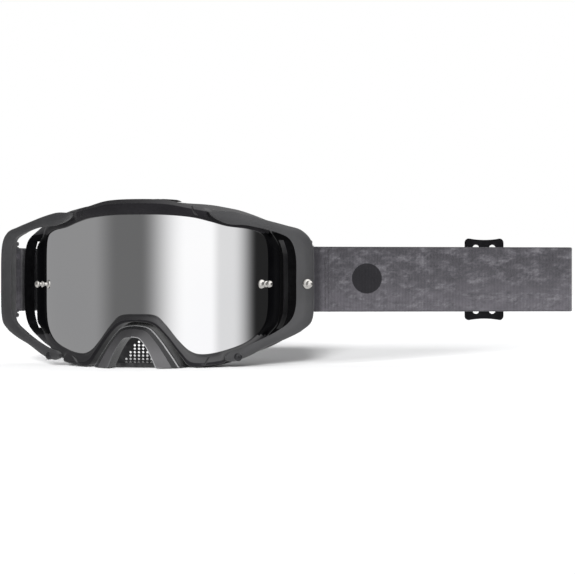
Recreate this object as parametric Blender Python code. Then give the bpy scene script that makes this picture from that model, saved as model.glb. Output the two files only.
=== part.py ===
"""Motocross goggles: front frame with mirrored cylindrical lens, outriggers,
face padding, nose guard and a webbing strap with a length slider.

Frame of the model: +X to the viewer's right, +Y towards the wearer, +Z up.
The origin is on the centre line, on the flat underside of the nose vent's rim,
where the goggle stands on a shelf. The shapes are drawn about a second point,
on the centre line at the front of the nose bridge and level with the lens
posts, and DRAWN_FROM carries them to the origin. Lengths in this file are in
millimetres and are turned into metres when a mesh is made."""

import bpy
import bmesh
import math
import numpy as np
from mathutils import Vector

# ----------------------------------------------------------- shared dimensions
MM = 0.001
GAP = 0.35              # running gap between neighbours
SIDES = ((-1, "left"), (1, "right"))    # sign of x, name

RIM_HALF_WIDTH = 13.6   # rim under the nose vent, on which the goggle stands
RIM_Y = (2.4, 12.0)
RIM_HEIGHT = 2.6
FOOT_Y = sum(RIM_Y) / 2
FOOT_Z = -49.8          # the rim's underside, from the drawing point
DRAWN_FROM = (0.0, -FOOT_Y, -FOOT_Z)

LENS_R = 84.0           # radius of the lens cylinder's front face
LENS_FRONT = 2.0        # y of the lens front on the centre line
LENS_T = 1.5            # lens thickness

FLANGE_Y0 = 22.0        # y of the face flange's rear face on the centre line
FLANGE_SWEEP = 30.5     # how much further back the flange is at the temples
TEMPLE_X = 80.0         # where the flange stops curving back
TEMPLE_SLOPE = 0.15
FLANGE_T = 3.2          # flange thickness
WALL_FRONT = -2.2       # front edge of the frame's outer wall, from the lens face

BAR_X, BAR_Y = 95.5, 52.0   # strap bars on the outriggers
BAR_R = 1.6
STRAP_Z0, STRAP_Z1 = -17.0, 23.0    # 40 mm webbing
STRAP_T = 1.6

for ob in list(bpy.data.objects):
    bpy.data.objects.remove(ob, do_unlink=True)


# ------------------------------------------------------------------- materials
def material(name, color, roughness, metallic=0.0):
    mat = bpy.data.materials.new(name)
    mat.use_nodes = True
    shader = mat.node_tree.nodes["Principled BSDF"]
    shader.inputs["Base Color"].default_value = (*color, 1.0)
    shader.inputs["Roughness"].default_value = roughness
    shader.inputs["Metallic"].default_value = metallic
    return mat


FRAME_MAT = material("frame_matte_black", color=(0.055, 0.054, 0.058), roughness=0.55)
OUTRIGGER_MAT = material("outrigger_graphite", color=(0.085, 0.084, 0.09), roughness=0.5)
LENS_MAT = material("silver_mirror_lens", color=(0.72, 0.73, 0.74), roughness=0.05,
                    metallic=1.0)
POST_MAT = material("bright_post", color=(0.6, 0.6, 0.6), roughness=0.25, metallic=1.0)
GUARD_MAT = material("nose_guard_gloss_black", color=(0.02, 0.02, 0.022), roughness=0.3)
SCREEN_MAT = material("vent_screen", color=(0.06, 0.06, 0.065), roughness=0.5)
FOAM_DARK = material("foam_dense", color=(0.03, 0.03, 0.032), roughness=0.95)
FOAM_GREY = material("foam_soft", color=(0.12, 0.12, 0.125), roughness=0.95)
FLEECE_MAT = material("fleece", color=(0.05, 0.05, 0.052), roughness=1.0)
VENT_MAT = material("vent_foam", color=(0.035, 0.035, 0.037), roughness=0.95)
STRAP_MAT = material("strap_webbing", color=(0.14, 0.13, 0.15), roughness=0.85)
SLIDER_MAT = material("slider_black", color=(0.012, 0.012, 0.013), roughness=0.4)

# ---------------------------------------------------------------- mesh helpers
MERGE_DISTANCE = 1e-6   # metres


def make(name, verts, faces, mat, origin=(0.0, 0.0, 0.0), smooth=35.0):
    """A mesh object from millimetre points, with its origin on origin.
    Edges sharper than smooth degrees stay sharp; None shades it flat."""
    mesh = bpy.data.meshes.new(name)
    shift = Vector(DRAWN_FROM)
    location = (Vector(origin) + shift) * MM
    mesh.from_pydata([(Vector(v) + shift) * MM - location for v in verts], [], faces)
    bm = bmesh.new()
    bm.from_mesh(mesh)
    bmesh.ops.remove_doubles(bm, verts=bm.verts, dist=MERGE_DISTANCE)
    bmesh.ops.recalc_face_normals(bm, faces=bm.faces)
    bm.to_mesh(mesh)
    bm.free()
    mesh.materials.append(mat)
    if smooth:
        mesh.shade_smooth()
        mesh.set_sharp_from_angle(angle=math.radians(smooth))
    ob = bpy.data.objects.new(name, mesh)
    ob.location = location
    bpy.context.scene.collection.objects.link(ob)
    return ob


def boolean(ob, tool, operation):
    """Join or cut ob with tool, which becomes a hidden helper."""
    tool.hide_render = True
    tool.display_type = 'WIRE'
    mod = ob.modifiers.new(operation.lower(), 'BOOLEAN')
    mod.operation = operation
    mod.solver = 'EXACT'
    mod.object = tool


def tube_faces(rings, points, closed):
    """Quads that skin rings sections of points each; capped when open."""
    faces = []
    for i in range(rings if closed else rings - 1):
        j = (i + 1) % rings
        for k in range(points):
            m = (k + 1) % points
            faces.append((i * points + k, i * points + m, j * points + m, j * points + k))
    if not closed:
        faces.append(tuple(range(points))[::-1])
        faces.append(tuple((rings - 1) * points + k for k in range(points)))
    return faces


def skin(name, sections, mat, closed=False, origin=(0, 0, 0), smooth=35.0):
    verts = [point for section in sections for point in section]
    faces = tube_faces(len(sections), len(sections[0]), closed)
    return make(name, verts, faces, mat, origin, smooth)


def prism(name, outline, z0, z1, mat, origin=(0, 0, 0)):
    """A plan outline (x, y) carried from z0 to z1."""
    sections = [[(x, y, z) for x, y in outline] for z in (z0, z1)]
    return skin(name, sections, mat, origin=origin)


def rounded_box(name, low, high, bevel, mat):
    (x0, y0, z0), (x1, y1, z1) = low, high
    ob = prism(name, [(x0, y0), (x1, y0), (x1, y1), (x0, y1)], z0, z1, mat)
    mod = ob.modifiers.new("edges", 'BEVEL')
    mod.width = bevel * MM
    mod.segments = 2
    return ob


def turned(name, profile, base, axis, mat):
    """A turned piece: (radius, height) pairs about axis, standing on base.
    The axis must not be exactly vertical."""
    steps = 16
    axis = Vector(axis).normalized()
    across = axis.cross(Vector((0, 0, 1))).normalized()
    other = axis.cross(across)
    base = Vector(base)
    angles = [2 * math.pi * k / steps for k in range(steps)]
    sections = [[tuple(base + axis * height
                       + (across * math.cos(angle) + other * math.sin(angle)) * radius)
                 for angle in angles]
                for radius, height in profile]
    return skin(name, sections, mat)


# ------------------------------------------------------------ curves and loops
def catmull(before, start, end, after, t):
    """Catmull-Rom point at fraction t of the span from start to end."""
    return 0.5 * (2 * start + (end - before) * t
                  + (2 * before - 5 * start + 4 * end - after) * t * t
                  + (3 * start - before - 3 * end + after) * t ** 3)


def loop_through(half, steps):
    """A closed loop through half-profile rows that run from the top centre down
    the +X side to the bottom centre. The even columns are mirrored for -X."""
    rows = [np.array(row, float) for row in half]
    for row in rows[-2:0:-1]:
        mirrored = row.copy()
        mirrored[0::2] *= -1.0
        rows.append(mirrored)
    count = len(rows)
    return np.array([catmull(rows[i - 1], rows[i], rows[(i + 1) % count],
                             rows[(i + 2) % count], k / steps)
                     for i in range(count) for k in range(steps)])


def path_through(rows, steps):
    """An open curve through rows, ending on the last one."""
    rows = [np.array(row, float) for row in rows]
    last = len(rows) - 1
    path = [catmull(rows[max(i - 1, 0)], rows[i], rows[i + 1], rows[min(i + 2, last)],
                    k / steps)
            for i in range(last) for k in range(steps)]
    path.append(rows[-1])
    return np.array(path)


def outward(loop, distance):
    """Offset a closed 2-D loop away from its inside, by one distance or one a point."""
    following, previous = np.roll(loop, -1, axis=0), np.roll(loop, 1, axis=0)
    tangent = following - previous
    tangent /= np.linalg.norm(tangent, axis=1)[:, None]
    area = 0.5 * np.sum(loop[:, 0] * following[:, 1] - following[:, 0] * loop[:, 1])
    turn = 1.0 if area > 0 else -1.0
    normal = np.stack([tangent[:, 1], -tangent[:, 0]], axis=1) * turn
    return loop + normal * np.reshape(distance, (-1, 1))


def height_range(loop, across):
    """Lowest and highest z where a closed (across, z) loop meets a line of
    constant across."""
    heights = []
    for (start, z0), (end, z1) in zip(loop, np.roll(loop, -1, axis=0)):
        if (start - across) * (end - across) <= 0 and start != end:
            heights.append(z0 + (z1 - z0) * (across - start) / (end - start))
    return min(heights), max(heights)


def ramp(value, start, end):
    """Smooth step from 0 at start to 1 at end."""
    t = min(max((value - start) / (end - start), 0.0), 1.0)
    return t * t * (3 - 2 * t)


def ring_widths(loop, wide, narrow, nose_z, passes):
    """Width of a ring at each (x, z) point: narrow by the nose, between the two
    heights of nose_z, then averaged so that it changes gently."""
    nose_half_width = 30
    low, high = nose_z
    widths = np.array([narrow if abs(x) < nose_half_width and low < z < high else wide
                       for x, z in loop])
    for _ in range(passes):
        widths = (np.roll(widths, 1) + widths * 2 + np.roll(widths, -1)) / 4
    return widths


def on_lens(arc_x, z, proud):
    """A point proud in front of the lens face; arc_x is the arc length across it."""
    angle = arc_x / LENS_R
    radius = LENS_R + proud
    return (radius * math.sin(angle), LENS_FRONT + LENS_R - radius * math.cos(angle), z)


def flange_y(x):
    """Rear face of the flange: it follows the face, then runs flat outboard."""
    reach = abs(x)
    return (FLANGE_Y0 + FLANGE_SWEEP * (min(reach, TEMPLE_X) / TEMPLE_X) ** 2
            + TEMPLE_SLOPE * max(reach - TEMPLE_X, 0.0))


# ----------------------------------------------------------------------- frame
# Half profiles from the top centre, down the +X side, to the bottom centre.
# Each row: lens opening (arc, z), frame outer edge (arc, z), flange edge (x, z).
PROFILE = (
    (0.0, 41.3, 0.0, 50.5, 0.0, 48.8),          # brow centre
    (16.0, 41.1, 17.5, 49.8, 18.0, 49.0),
    (32.0, 39.7, 31.0, 46.7, 36.0, 48.2),       # step down from the brow pad
    (43.0, 37.3, 42.0, 44.9, 47.0, 46.5),
    (54.0, 34.6, 55.0, 43.0, 57.0, 44.1),
    (69.0, 33.0, 72.0, 39.6, 71.0, 38.4),
    (79.5, 29.5, 84.0, 34.5, 81.5, 33.0),       # upper temple corner
    (83.5, 21.0, 89.2, 24.0, 88.6, 24.0),
    (83.8, 0.0, 90.2, 0.0, 90.0, 0.0),
    (83.4, -15.5, 89.4, -17.5, 89.0, -19.0),
    (79.8, -25.5, 85.6, -29.0, 84.2, -29.5),    # lower temple corner
    (68.5, -34.2, 73.0, -39.5, 73.0, -37.5),
    (52.0, -39.8, 54.0, -46.3, 57.0, -43.8),
    (39.0, -41.9, 41.5, -48.6, 44.0, -46.3),    # lowest point of the cheek
    (31.0, -39.8, 31.0, -48.9, 33.0, -46.6),
    (24.0, -33.2, 25.6, -43.0, 25.5, -40.5),    # nose leg
    (16.6, -24.0, 17.2, -31.6, 17.0, -29.5),
    (10.5, -18.7, 9.6, -24.3, 9.5, -22.8),
    (0.0, -17.9, 0.0, -22.6, 0.0, -21.0),       # nose bridge
)
PROFILE_LOOP = loop_through(PROFILE, steps=3)
OPENING, OUTER, FLANGE = PROFILE_LOOP[:, 0:2], PROFILE_LOOP[:, 2:4], PROFILE_LOOP[:, 4:6]

BROW_CREST = 6.0        # height of the frame's front face above the lens face
SIDE_CREST = 2.6        # the same under the outrigger arms
UPPER_FADE = (39.0, 43.5)   # arc over which the crest drops, above the centre
LOWER_FADE = (49.0, 52.5)   # and below it
HEIGHT_FADE = (22.0, 30.0)  # distance from mid-height over which the drop takes hold
GROOVE = 2.6            # depth of the lens groove
LIP = 1.8               # front of the retaining lip above the lens face
CREST_FROM, CREST_TO = 0.30, 0.72   # the crest's place between opening and outer edge
SHOULDER_MIX = 0.55     # share of the crest in the height at CREST_FROM
SHOULDER_LIFT = 0.4
EDGE_DROP = 1.3         # outer edge below the crest
WALL_RISE = 2.8         # the outer wall's front edge comes forward at the temples
WALL_RISE_ARC = (60.0, 80.0)
SEAT_OUT, SEAT_DEPTH = 0.7, 4.2     # ledge behind the groove: outwards, behind the face
FLANGE_WIDTH, FLANGE_NOSE_WIDTH = 10.0, 7.0
FLANGE_NOSE_Z = (-47, -18)

# The temple slit in plan (x, y), and how far it shifts inboard by height.
SLIT_PLAN = ((77.6, 43.0), (79.9, 43.0), (85.0, 57.0), (82.7, 57.0))
SLIT_BENDS = ((-27.5, 2.8), (-22.0, 1.0), (-14.0, 0.0), (14.0, 0.0), (21.0, 0.6), (27.0, 2.0))

BROW_SLOTS, BROW_SLOT_PITCH = 4, 10.8
BROW_SLOT_HALF, BROW_SLOT_BEVEL = 4.2, 1.6
BROW_SLOT_Y, BROW_SLOT_Z = (7.5, 14.0), (32.0, 58.0)
CHEEK_SLOT_X = (38.0, 50.0)
CHEEK_SLOT_HALF, CHEEK_SLOT_BEVEL = 4.4, 1.4
CHEEK_SLOT_AHEAD, CHEEK_SLOT_DEPTH = 11.5, 5.5      # ahead of the flange; size in y
CHEEK_SLOT_Z = (-58.0, -34.0)


def crest(arc_x, z):
    """Front face height: full on the brow, cheeks and nose, low under the arms."""
    drop = ramp(abs(arc_x), *(UPPER_FADE if z > 0 else LOWER_FADE))
    drop *= ramp(abs(z), *HEIGHT_FADE)
    return BROW_CREST + (SIDE_CREST - BROW_CREST) * drop


def build_frame():
    groove = outward(OPENING, GROOVE)
    seat = outward(OPENING, SEAT_OUT)
    widths = ring_widths(FLANGE, FLANGE_WIDTH, FLANGE_NOSE_WIDTH, FLANGE_NOSE_Z, passes=6)
    flange_inner = outward(FLANGE, -widths)
    behind_lens = -LENS_T - GAP
    sections = []
    for opening, outer, flange, inner, ledge, room in zip(
            OPENING, OUTER, FLANGE, flange_inner, seat, groove):
        height = crest(*(0.5 * (opening + outer)))
        shoulder = opening + (outer - opening) * CREST_FROM
        ridge = opening + (outer - opening) * CREST_TO
        rear = flange_y(flange[0])
        sections.append([
            on_lens(*opening, GAP),
            on_lens(*opening, LIP),
            on_lens(*shoulder,
                    SHOULDER_MIX * height + (1 - SHOULDER_MIX) * LIP + SHOULDER_LIFT),
            on_lens(*ridge, height),
            on_lens(*outer, height - EDGE_DROP),
            on_lens(*outer, WALL_FRONT + WALL_RISE * ramp(abs(outer[0]), *WALL_RISE_ARC)),
            (flange[0], rear - FLANGE_T, flange[1]),
            (flange[0], rear, flange[1]),
            (inner[0], flange_y(inner[0]), inner[1]),
            on_lens(*ledge, -SEAT_DEPTH),
            on_lens(*ledge, behind_lens),
            on_lens(*room, behind_lens),
            on_lens(*room, GAP),
        ])
    return skin("frame", sections, FRAME_MAT, closed=True, smooth=40.0)


def cut_temple_slits(frame):
    """A see-through slit beside each temple leaves the outer rail of the frame;
    it bends inboard at both ends, where the corners of the frame begin."""
    for side, side_name in SIDES:
        sections = [[(side * (x - bend), y, z) for x, y in SLIT_PLAN]
                    for z, bend in SLIT_BENDS]
        boolean(frame, skin("slit_cut_" + side_name, sections, FRAME_MAT), 'DIFFERENCE')


def cut_vent_slots(frame):
    """Slots through the brow and through both cheeks."""
    for n in range(BROW_SLOTS):
        x = (n - (BROW_SLOTS - 1) / 2) * BROW_SLOT_PITCH
        tool = rounded_box("brow_slot_%d" % n,
                           (x - BROW_SLOT_HALF, BROW_SLOT_Y[0], BROW_SLOT_Z[0]),
                           (x + BROW_SLOT_HALF, BROW_SLOT_Y[1], BROW_SLOT_Z[1]),
                           BROW_SLOT_BEVEL, FRAME_MAT)
        boolean(frame, tool, 'DIFFERENCE')
    for side, _ in SIDES:
        for n, x in enumerate(CHEEK_SLOT_X):
            y = flange_y(x) - CHEEK_SLOT_AHEAD
            tool = rounded_box(
                "cheek_slot_%d_%d" % (side, n),
                (side * x - CHEEK_SLOT_HALF, y, CHEEK_SLOT_Z[0]),
                (side * x + CHEEK_SLOT_HALF, y + CHEEK_SLOT_DEPTH, CHEEK_SLOT_Z[1]),
                CHEEK_SLOT_BEVEL, FRAME_MAT)
            boolean(frame, tool, 'DIFFERENCE')


# -------------------------------------------------------------- lens and posts
LENS_LAP = 2.1          # how far the lens reaches into the groove
LENS_END_TRIM = 0.02    # keeps the end columns on the loop
LENS_END_CLEAR = 0.6    # no column this close to the end ones
LENS_COLUMN_STEP = 1.6  # least spacing of the other columns

POST_ANGLE = math.radians(53.5)     # lens posts, round the lens from its middle
POST_PROFILE = (        # radius, height
    (1.1, -1.2), (1.1, 0.0), (2.7, 0.0), (2.7, 0.9), (2.2, 1.3), (1.25, 1.5),
    (1.25, 3.6), (1.9, 3.9), (1.9, 4.7), (1.25, 5.0), (1.25, 6.4), (2.0, 6.8),
    (2.1, 7.6), (1.6, 8.6), (0.7, 9.1))
POST_HOLE_PROFILE = ((1.5, -5.0), (1.5, 5.0))


def build_lens():
    """The lens, skinned from upright columns spaced along its arc."""
    loop = outward(OPENING, LENS_LAP)
    end = float(np.max(loop[:, 0])) - LENS_END_TRIM
    candidates = sorted({round(float(v), 3) for v in np.abs(loop[:, 0])
                         if v < end - LENS_END_CLEAR})
    columns = [0.0]
    for candidate in candidates:
        if candidate - columns[-1] > LENS_COLUMN_STEP:
            columns.append(candidate)
    columns.append(end)
    sections = []
    for arc_x in [-v for v in columns[:0:-1]] + columns:
        low, high = height_range(loop, arc_x)
        sections.append([on_lens(arc_x, low, 0.0), on_lens(arc_x, high, 0.0),
                         on_lens(arc_x, high, -LENS_T), on_lens(arc_x, low, -LENS_T)])
    return skin("lens", sections, LENS_MAT, smooth=30.0)


def build_lens_posts(lens):
    """A post square to the lens on each side, and its hole through the lens."""
    for side, side_name in SIDES:
        base = on_lens(side * POST_ANGLE * LENS_R, 0.0, GAP)
        axis = (side * math.sin(POST_ANGLE), -math.cos(POST_ANGLE), 0.0)
        turned("lens_post_" + side_name, POST_PROFILE, base, axis, POST_MAT)
        hole = turned("post_hole_" + side_name, POST_HOLE_PROFILE, base, axis, POST_MAT)
        boolean(lens, hole, 'DIFFERENCE')


# ------------------------------------------------------------------ outriggers
# Sections of the right outrigger, from the upper arm round the temple to the
# lug on the cheek. Each row holds four (x, y, z) points.
ARM = (
    # front inner edge      outer edge           rear outer            rear inner
    (43.6, 5.4, 41.0, 42.6, 5.0, 42.6, 42.6, 9.3, 42.6, 43.4, 9.5, 41.0),
    (47.5, 6.4, 38.0, 46.0, 6.0, 43.2, 46.0, 11.2, 43.0, 47.2, 11.6, 38.2),
    (54.0, 9.0, 35.4, 54.0, 9.0, 43.4, 54.0, 14.8, 43.1, 54.0, 14.4, 36.4),
    (63.0, 12.6, 34.9, 64.0, 13.8, 41.4, 63.5, 20.0, 40.8, 62.5, 18.6, 36.0),
    (72.0, 16.2, 33.1, 75.0, 18.8, 38.2, 74.2, 26.0, 37.6, 71.4, 22.8, 34.2),
    (80.0, 21.0, 30.9, 85.0, 25.2, 35.4, 84.0, 33.5, 34.6, 79.4, 28.5, 31.8),
    (87.2, 26.2, 26.8, 94.0, 31.3, 32.2, 93.0, 41.0, 31.0, 88.4, 36.0, 27.6),
    (90.2, 29.2, 17.5, 99.2, 35.4, 23.4, 97.8, 46.2, 22.4, 93.2, 46.0, 19.6),
    (90.5, 29.6, 1.0, 100.0, 36.0, 1.0, 98.0, 47.4, 1.0, 93.8, 47.4, 1.0),
    (90.2, 29.2, -14.0, 99.2, 35.4, -20.6, 97.8, 46.2, -19.8, 93.2, 46.0, -16.8),
    (87.2, 26.2, -22.4, 94.2, 31.5, -27.8, 93.2, 41.0, -26.8, 88.4, 36.0, -23.4),
    (80.0, 21.0, -28.4, 85.5, 25.5, -32.9, 84.4, 33.5, -32.2, 79.4, 28.5, -29.4),
    (72.0, 16.2, -32.8, 75.0, 18.8, -37.4, 74.2, 26.0, -36.8, 71.4, 22.8, -33.8),
    (64.5, 12.6, -36.4, 66.0, 14.4, -42.6, 65.4, 20.6, -42.0, 63.8, 18.6, -37.6),
    (58.4, 10.6, -39.2, 58.6, 10.6, -45.6, 58.6, 16.6, -45.0, 58.4, 16.6, -39.8),
    (54.0, 9.0, -40.4, 54.0, 9.0, -46.2, 54.0, 14.7, -45.8, 54.0, 14.7, -40.8),
    (51.6, 8.2, -42.2, 51.6, 8.2, -45.0, 51.6, 13.6, -44.8, 51.6, 13.6, -42.4),
)
FRONT_BULGE = np.array([0.45, -0.9, 0.0])   # mid front face, off the straight line
OUTER_BULGE = np.array([0.3, 0.0, 0.0])     # mid outer face

LUG_HALF_WIDTH = 1.8    # strap bar lugs, centred on the bar in x
LUG_Y = (40.5, 54.3)
LUG_NEAR, LUG_FAR = 1.2, 5.6        # from the strap's edge
LUG_BEVEL = 1.0
BAR_OVERRUN = 3.4       # bar past the strap's edge, into the lug

PIN_FOOT = (55.4, 15.6, -43.5)      # right-hand pin
PIN_AXIS = (0.60, -0.80, 0.0)
PIN_R, PIN_START = 1.5, -2.6
PIN_HEAD_R, PIN_HEAD_AT = 2.5, 5.0
PIN_PROFILE = (         # radius, height
    (PIN_R, PIN_START), (PIN_R, PIN_HEAD_AT), (PIN_HEAD_R, PIN_HEAD_AT),
    (PIN_HEAD_R, 6.9), (2.0, 7.5))
COUNTERBORE_AT = PIN_HEAD_AT - 0.3
PIN_HOLE_PROFILE = (
    (PIN_R + GAP, PIN_START - 0.6), (PIN_R + GAP, COUNTERBORE_AT),
    (PIN_HEAD_R + GAP, COUNTERBORE_AT), (PIN_HEAD_R + GAP, 12.0))

PULL_TAB_AT = (95.7, 31.9, 0.0)     # on the right outrigger's face
PULL_TAB_AXIS = (6.6, -9.4, 0.0)
PULL_TAB_PROFILE = (    # radius, height
    (2.9, 0.0), (2.9, 0.7), (2.3, 1.1), (1.2, 1.3), (1.2, 2.6), (2.0, 2.9), (2.1, 3.7),
    (1.6, 4.4), (0.6, 4.7))


def build_outrigger(side, side_name):
    """The arm with its two lugs and the strap bar between them."""
    name = "outrigger_" + side_name
    sections = []
    for row in path_through(ARM, 3):
        front, outer, rear_outer, rear_inner = row.reshape(4, 3)
        points = [front,
                  0.5 * (outer + front) + FRONT_BULGE,
                  outer,
                  outer + (rear_outer - outer) * 0.5 + OUTER_BULGE,
                  rear_outer,
                  0.5 * (rear_outer + rear_inner),
                  rear_inner]
        sections.append([(side * x, y, z) for x, y, z in points])
    ob = skin(name, sections, OUTRIGGER_MAT, smooth=38.0)
    bar_x = side * BAR_X
    for tag, z0, z1 in (("upper", STRAP_Z1 + LUG_NEAR, STRAP_Z1 + LUG_FAR),
                        ("lower", STRAP_Z0 - LUG_FAR, STRAP_Z0 - LUG_NEAR)):
        lug = rounded_box("%s_lug_%s" % (name, tag),
                          (bar_x - LUG_HALF_WIDTH, LUG_Y[0], z0),
                          (bar_x + LUG_HALF_WIDTH, LUG_Y[1], z1), LUG_BEVEL, OUTRIGGER_MAT)
        boolean(ob, lug, 'UNION')
    # the hair's tilt keeps the axis off exactly vertical
    bar = turned(name + "_bar",
                 [(BAR_R, STRAP_Z0 - BAR_OVERRUN), (BAR_R, STRAP_Z1 + BAR_OVERRUN)],
                 (bar_x, BAR_Y, 0.0), (1e-9, 0.0, 1.0), OUTRIGGER_MAT)
    boolean(ob, bar, 'UNION')
    return ob


def build_outrigger_pin(side, side_name, outrigger, frame):
    """A pin that holds the lower end of the arm to the cheek of the frame."""
    axis = (side * PIN_AXIS[0], PIN_AXIS[1], PIN_AXIS[2])
    foot = (side * PIN_FOOT[0], PIN_FOOT[1], PIN_FOOT[2])
    turned("outrigger_pin_" + side_name, PIN_PROFILE, foot, axis, GUARD_MAT)
    for n, target in enumerate((outrigger, frame)):
        hole = turned("pin_hole_%s_%d" % (side_name, n), PIN_HOLE_PROFILE, foot, axis,
                      GUARD_MAT)
        boolean(target, hole, 'DIFFERENCE')


def build_pull_tab_post():
    """A post on the right outrigger's face, level with the lens posts."""
    axis = Vector(PULL_TAB_AXIS).normalized()
    turned("pull_tab_post", PULL_TAB_PROFILE, Vector(PULL_TAB_AT) + axis * GAP, axis, POST_MAT)


# ---------------------------------------------------------------- face padding
# Outer edge (x, z) from the top centre, down the +X side, to the bottom centre.
PAD = (
    (0.0, 47.2), (18.0, 47.1), (36.0, 45.9), (47.0, 44.2), (57.0, 41.4), (69.0, 36.6),
    (76.6, 31.0), (80.2, 23.0), (80.8, 0.0), (80.4, -18.0), (77.0, -28.5), (70.5, -36.3),
    (57.0, -42.8), (44.0, -45.3), (33.0, -45.4), (25.2, -38.6), (16.6, -28.6),
    (9.0, -21.6), (0.0, -20.0),
)
PAD_LOOP = loop_through(PAD, steps=2)
PAD_Y0 = 0.9            # clears the facets of the flange it is bonded to
PAD_NOSE_SHARE = 0.72   # width beside the nose, as a share of the full width
PAD_NOSE_Z = (-44, -18)
PAD_SPREAD = 0.0032     # growth in x per mm behind the flange, at the temples
PAD_SPREAD_X = (40.0, 80.0)

# Layers from the flange to the face: name, thickness, inset, width, material.
PAD_LAYERS = (
    ("face_foam_base", 3.6, 0.0, 9.6, FOAM_DARK),
    ("face_foam_mid", 7.6, 0.5, 10.4, FOAM_GREY),
    ("face_foam_fleece", 2.8, 0.2, 11.4, FLEECE_MAT),
)


def pad_layer(name, y0, thickness, inset, width, mat):
    """A ring of padding whose y is measured from the flange's rear face."""
    outer_loop = outward(PAD_LOOP, -inset)
    widths = ring_widths(outer_loop, width, width * PAD_NOSE_SHARE, PAD_NOSE_Z, passes=4)
    y1 = y0 + thickness
    sections = []
    for outer, inner in zip(outer_loop, outward(outer_loop, -widths)):
        section = []
        for (x, z), y in ((outer, y0), (outer, y1), (inner, y1), (inner, y0)):
            spread = 1.0 + PAD_SPREAD * y * ramp(abs(x), *PAD_SPREAD_X)
            section.append((x * spread, flange_y(x) + y, z))
        sections.append(section)
    skin(name, sections, mat, closed=True, smooth=30.0)


def build_padding():
    y = PAD_Y0
    for name, thickness, inset, width, mat in PAD_LAYERS:
        pad_layer(name, y, thickness, inset, width, mat)
        y += thickness + GAP


# ------------------------------------------------------------------ vent foams
VENT_T = 1.1
VENT_OFF = 0.45         # from the frame's wall
VENT_PITCH = 3.0        # spacing of the sections in x
TOP_VENT_X, TOP_VENT_SECTIONS = -22.5, 16
# the brow strip's front and rear edges: y on the centre line, bow divisor
TOP_VENT_FRONT = (7.4, 220.0)
TOP_VENT_REAR = (16.4, 300.0)
BOTTOM_VENT_X, BOTTOM_VENT_SECTIONS = 34.0, 7
BOTTOM_VENT_FRONT_MARGIN, BOTTOM_VENT_REAR_MARGIN = 1.6, 1.2


def wall_z(x, y, lower):
    """z of the frame's top (or bottom) outer wall over the point (x, y)."""
    loop = []
    for outer, flange in zip(OUTER, FLANGE):
        front_x, front_y, front_z = on_lens(*outer, WALL_FRONT)
        rear_y = flange_y(flange[0]) - FLANGE_T
        t = (y - front_y) / (rear_y - front_y)
        loop.append((front_x + (flange[0] - front_x) * t, front_z + (flange[1] - front_z) * t))
    low, high = height_range(loop, x)
    return low if lower else high


def vent_foam(name, stations, lower):
    """A strip along the wall; stations are rows of x, front y, rear y."""
    away = -1.0 if lower else 1.0
    sections = []
    for x, front, rear in stations:
        front_z = wall_z(x, front, lower) + away * VENT_OFF
        rear_z = wall_z(x, rear, lower) + away * VENT_OFF
        sections.append([(x, front, front_z), (x, rear, rear_z),
                         (x, rear, rear_z + away * VENT_T),
                         (x, front, front_z + away * VENT_T)])
    skin(name, sections, VENT_MAT, smooth=30.0)


def bottom_vent_station(x):
    """x, front y and rear y of a strip between the wall's front edge and the flange."""
    arc_x = math.asin(abs(x) / (LENS_R + WALL_FRONT)) * LENS_R
    wall_front_y = on_lens(arc_x, 0.0, WALL_FRONT)[1]
    return (x, wall_front_y + BOTTOM_VENT_FRONT_MARGIN,
            flange_y(x) - FLANGE_T - BOTTOM_VENT_REAR_MARGIN)


def build_vent_foams():
    stations = []
    for i in range(TOP_VENT_SECTIONS):
        x = TOP_VENT_X + VENT_PITCH * i
        stations.append((x, *(y + x * x / bow for y, bow in (TOP_VENT_FRONT, TOP_VENT_REAR))))
    vent_foam("vent_foam_top", stations, lower=False)
    for side, side_name in SIDES:
        stations = [bottom_vent_station(side * (BOTTOM_VENT_X + VENT_PITCH * i))
                    for i in range(BOTTOM_VENT_SECTIONS)]
        vent_foam("vent_foam_bottom_" + side_name, stations, lower=True)


# ----------------------------------------------------------- nose guard, screen
# Outer and inner edges (x, z) from the centre down the +X side.
GUARD_OUT = ((0.0, -24.4), (8.4, -26.0), (14.8, -32.4), (21.6, -42.0), (26.4, -49.4))
GUARD_IN = ((0.0, -31.4), (4.6, -32.2), (8.2, -36.4), (11.6, -42.4), (14.6, -49.4))
GUARD_OUTLINES = [path_through(rows, 3) for rows in (GUARD_OUT, GUARD_IN)]
GUARD_BOW = 0.0035      # the front sweeps back by this times x squared
GUARD_OUTER_Y = (-4.6, -2.0)        # front and rear of the outer edge
GUARD_RIDGE_Y, GUARD_INNER_Y = -7.4, -13.2
GUARD_RIDGE_SHARE = 0.72            # share of the outer edge in the ridge's place
GUARD_REAR_Y = 13.0
GUARD_FLARE, GUARD_FLARE_GAIN = 1.5, 1.1
GUARD_FLARE_X = (12.0, 20.0)        # where the gain comes in

SCREEN_Y = (3.2, 4.6)
SCREEN_BOTTOM = -48.8
SCREEN_SIDE_GAP, SCREEN_TOP_GAP = 0.4, 0.45     # inside the guard's inner edge
HOLE_ROWS, HOLE_PITCH, HOLE_R = 6, 2.3, 0.72
HOLE_TOP = -35.6        # z of the first row
HOLE_SIDES = 6
HOLE_Y = (1.0, 7.0)


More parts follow.
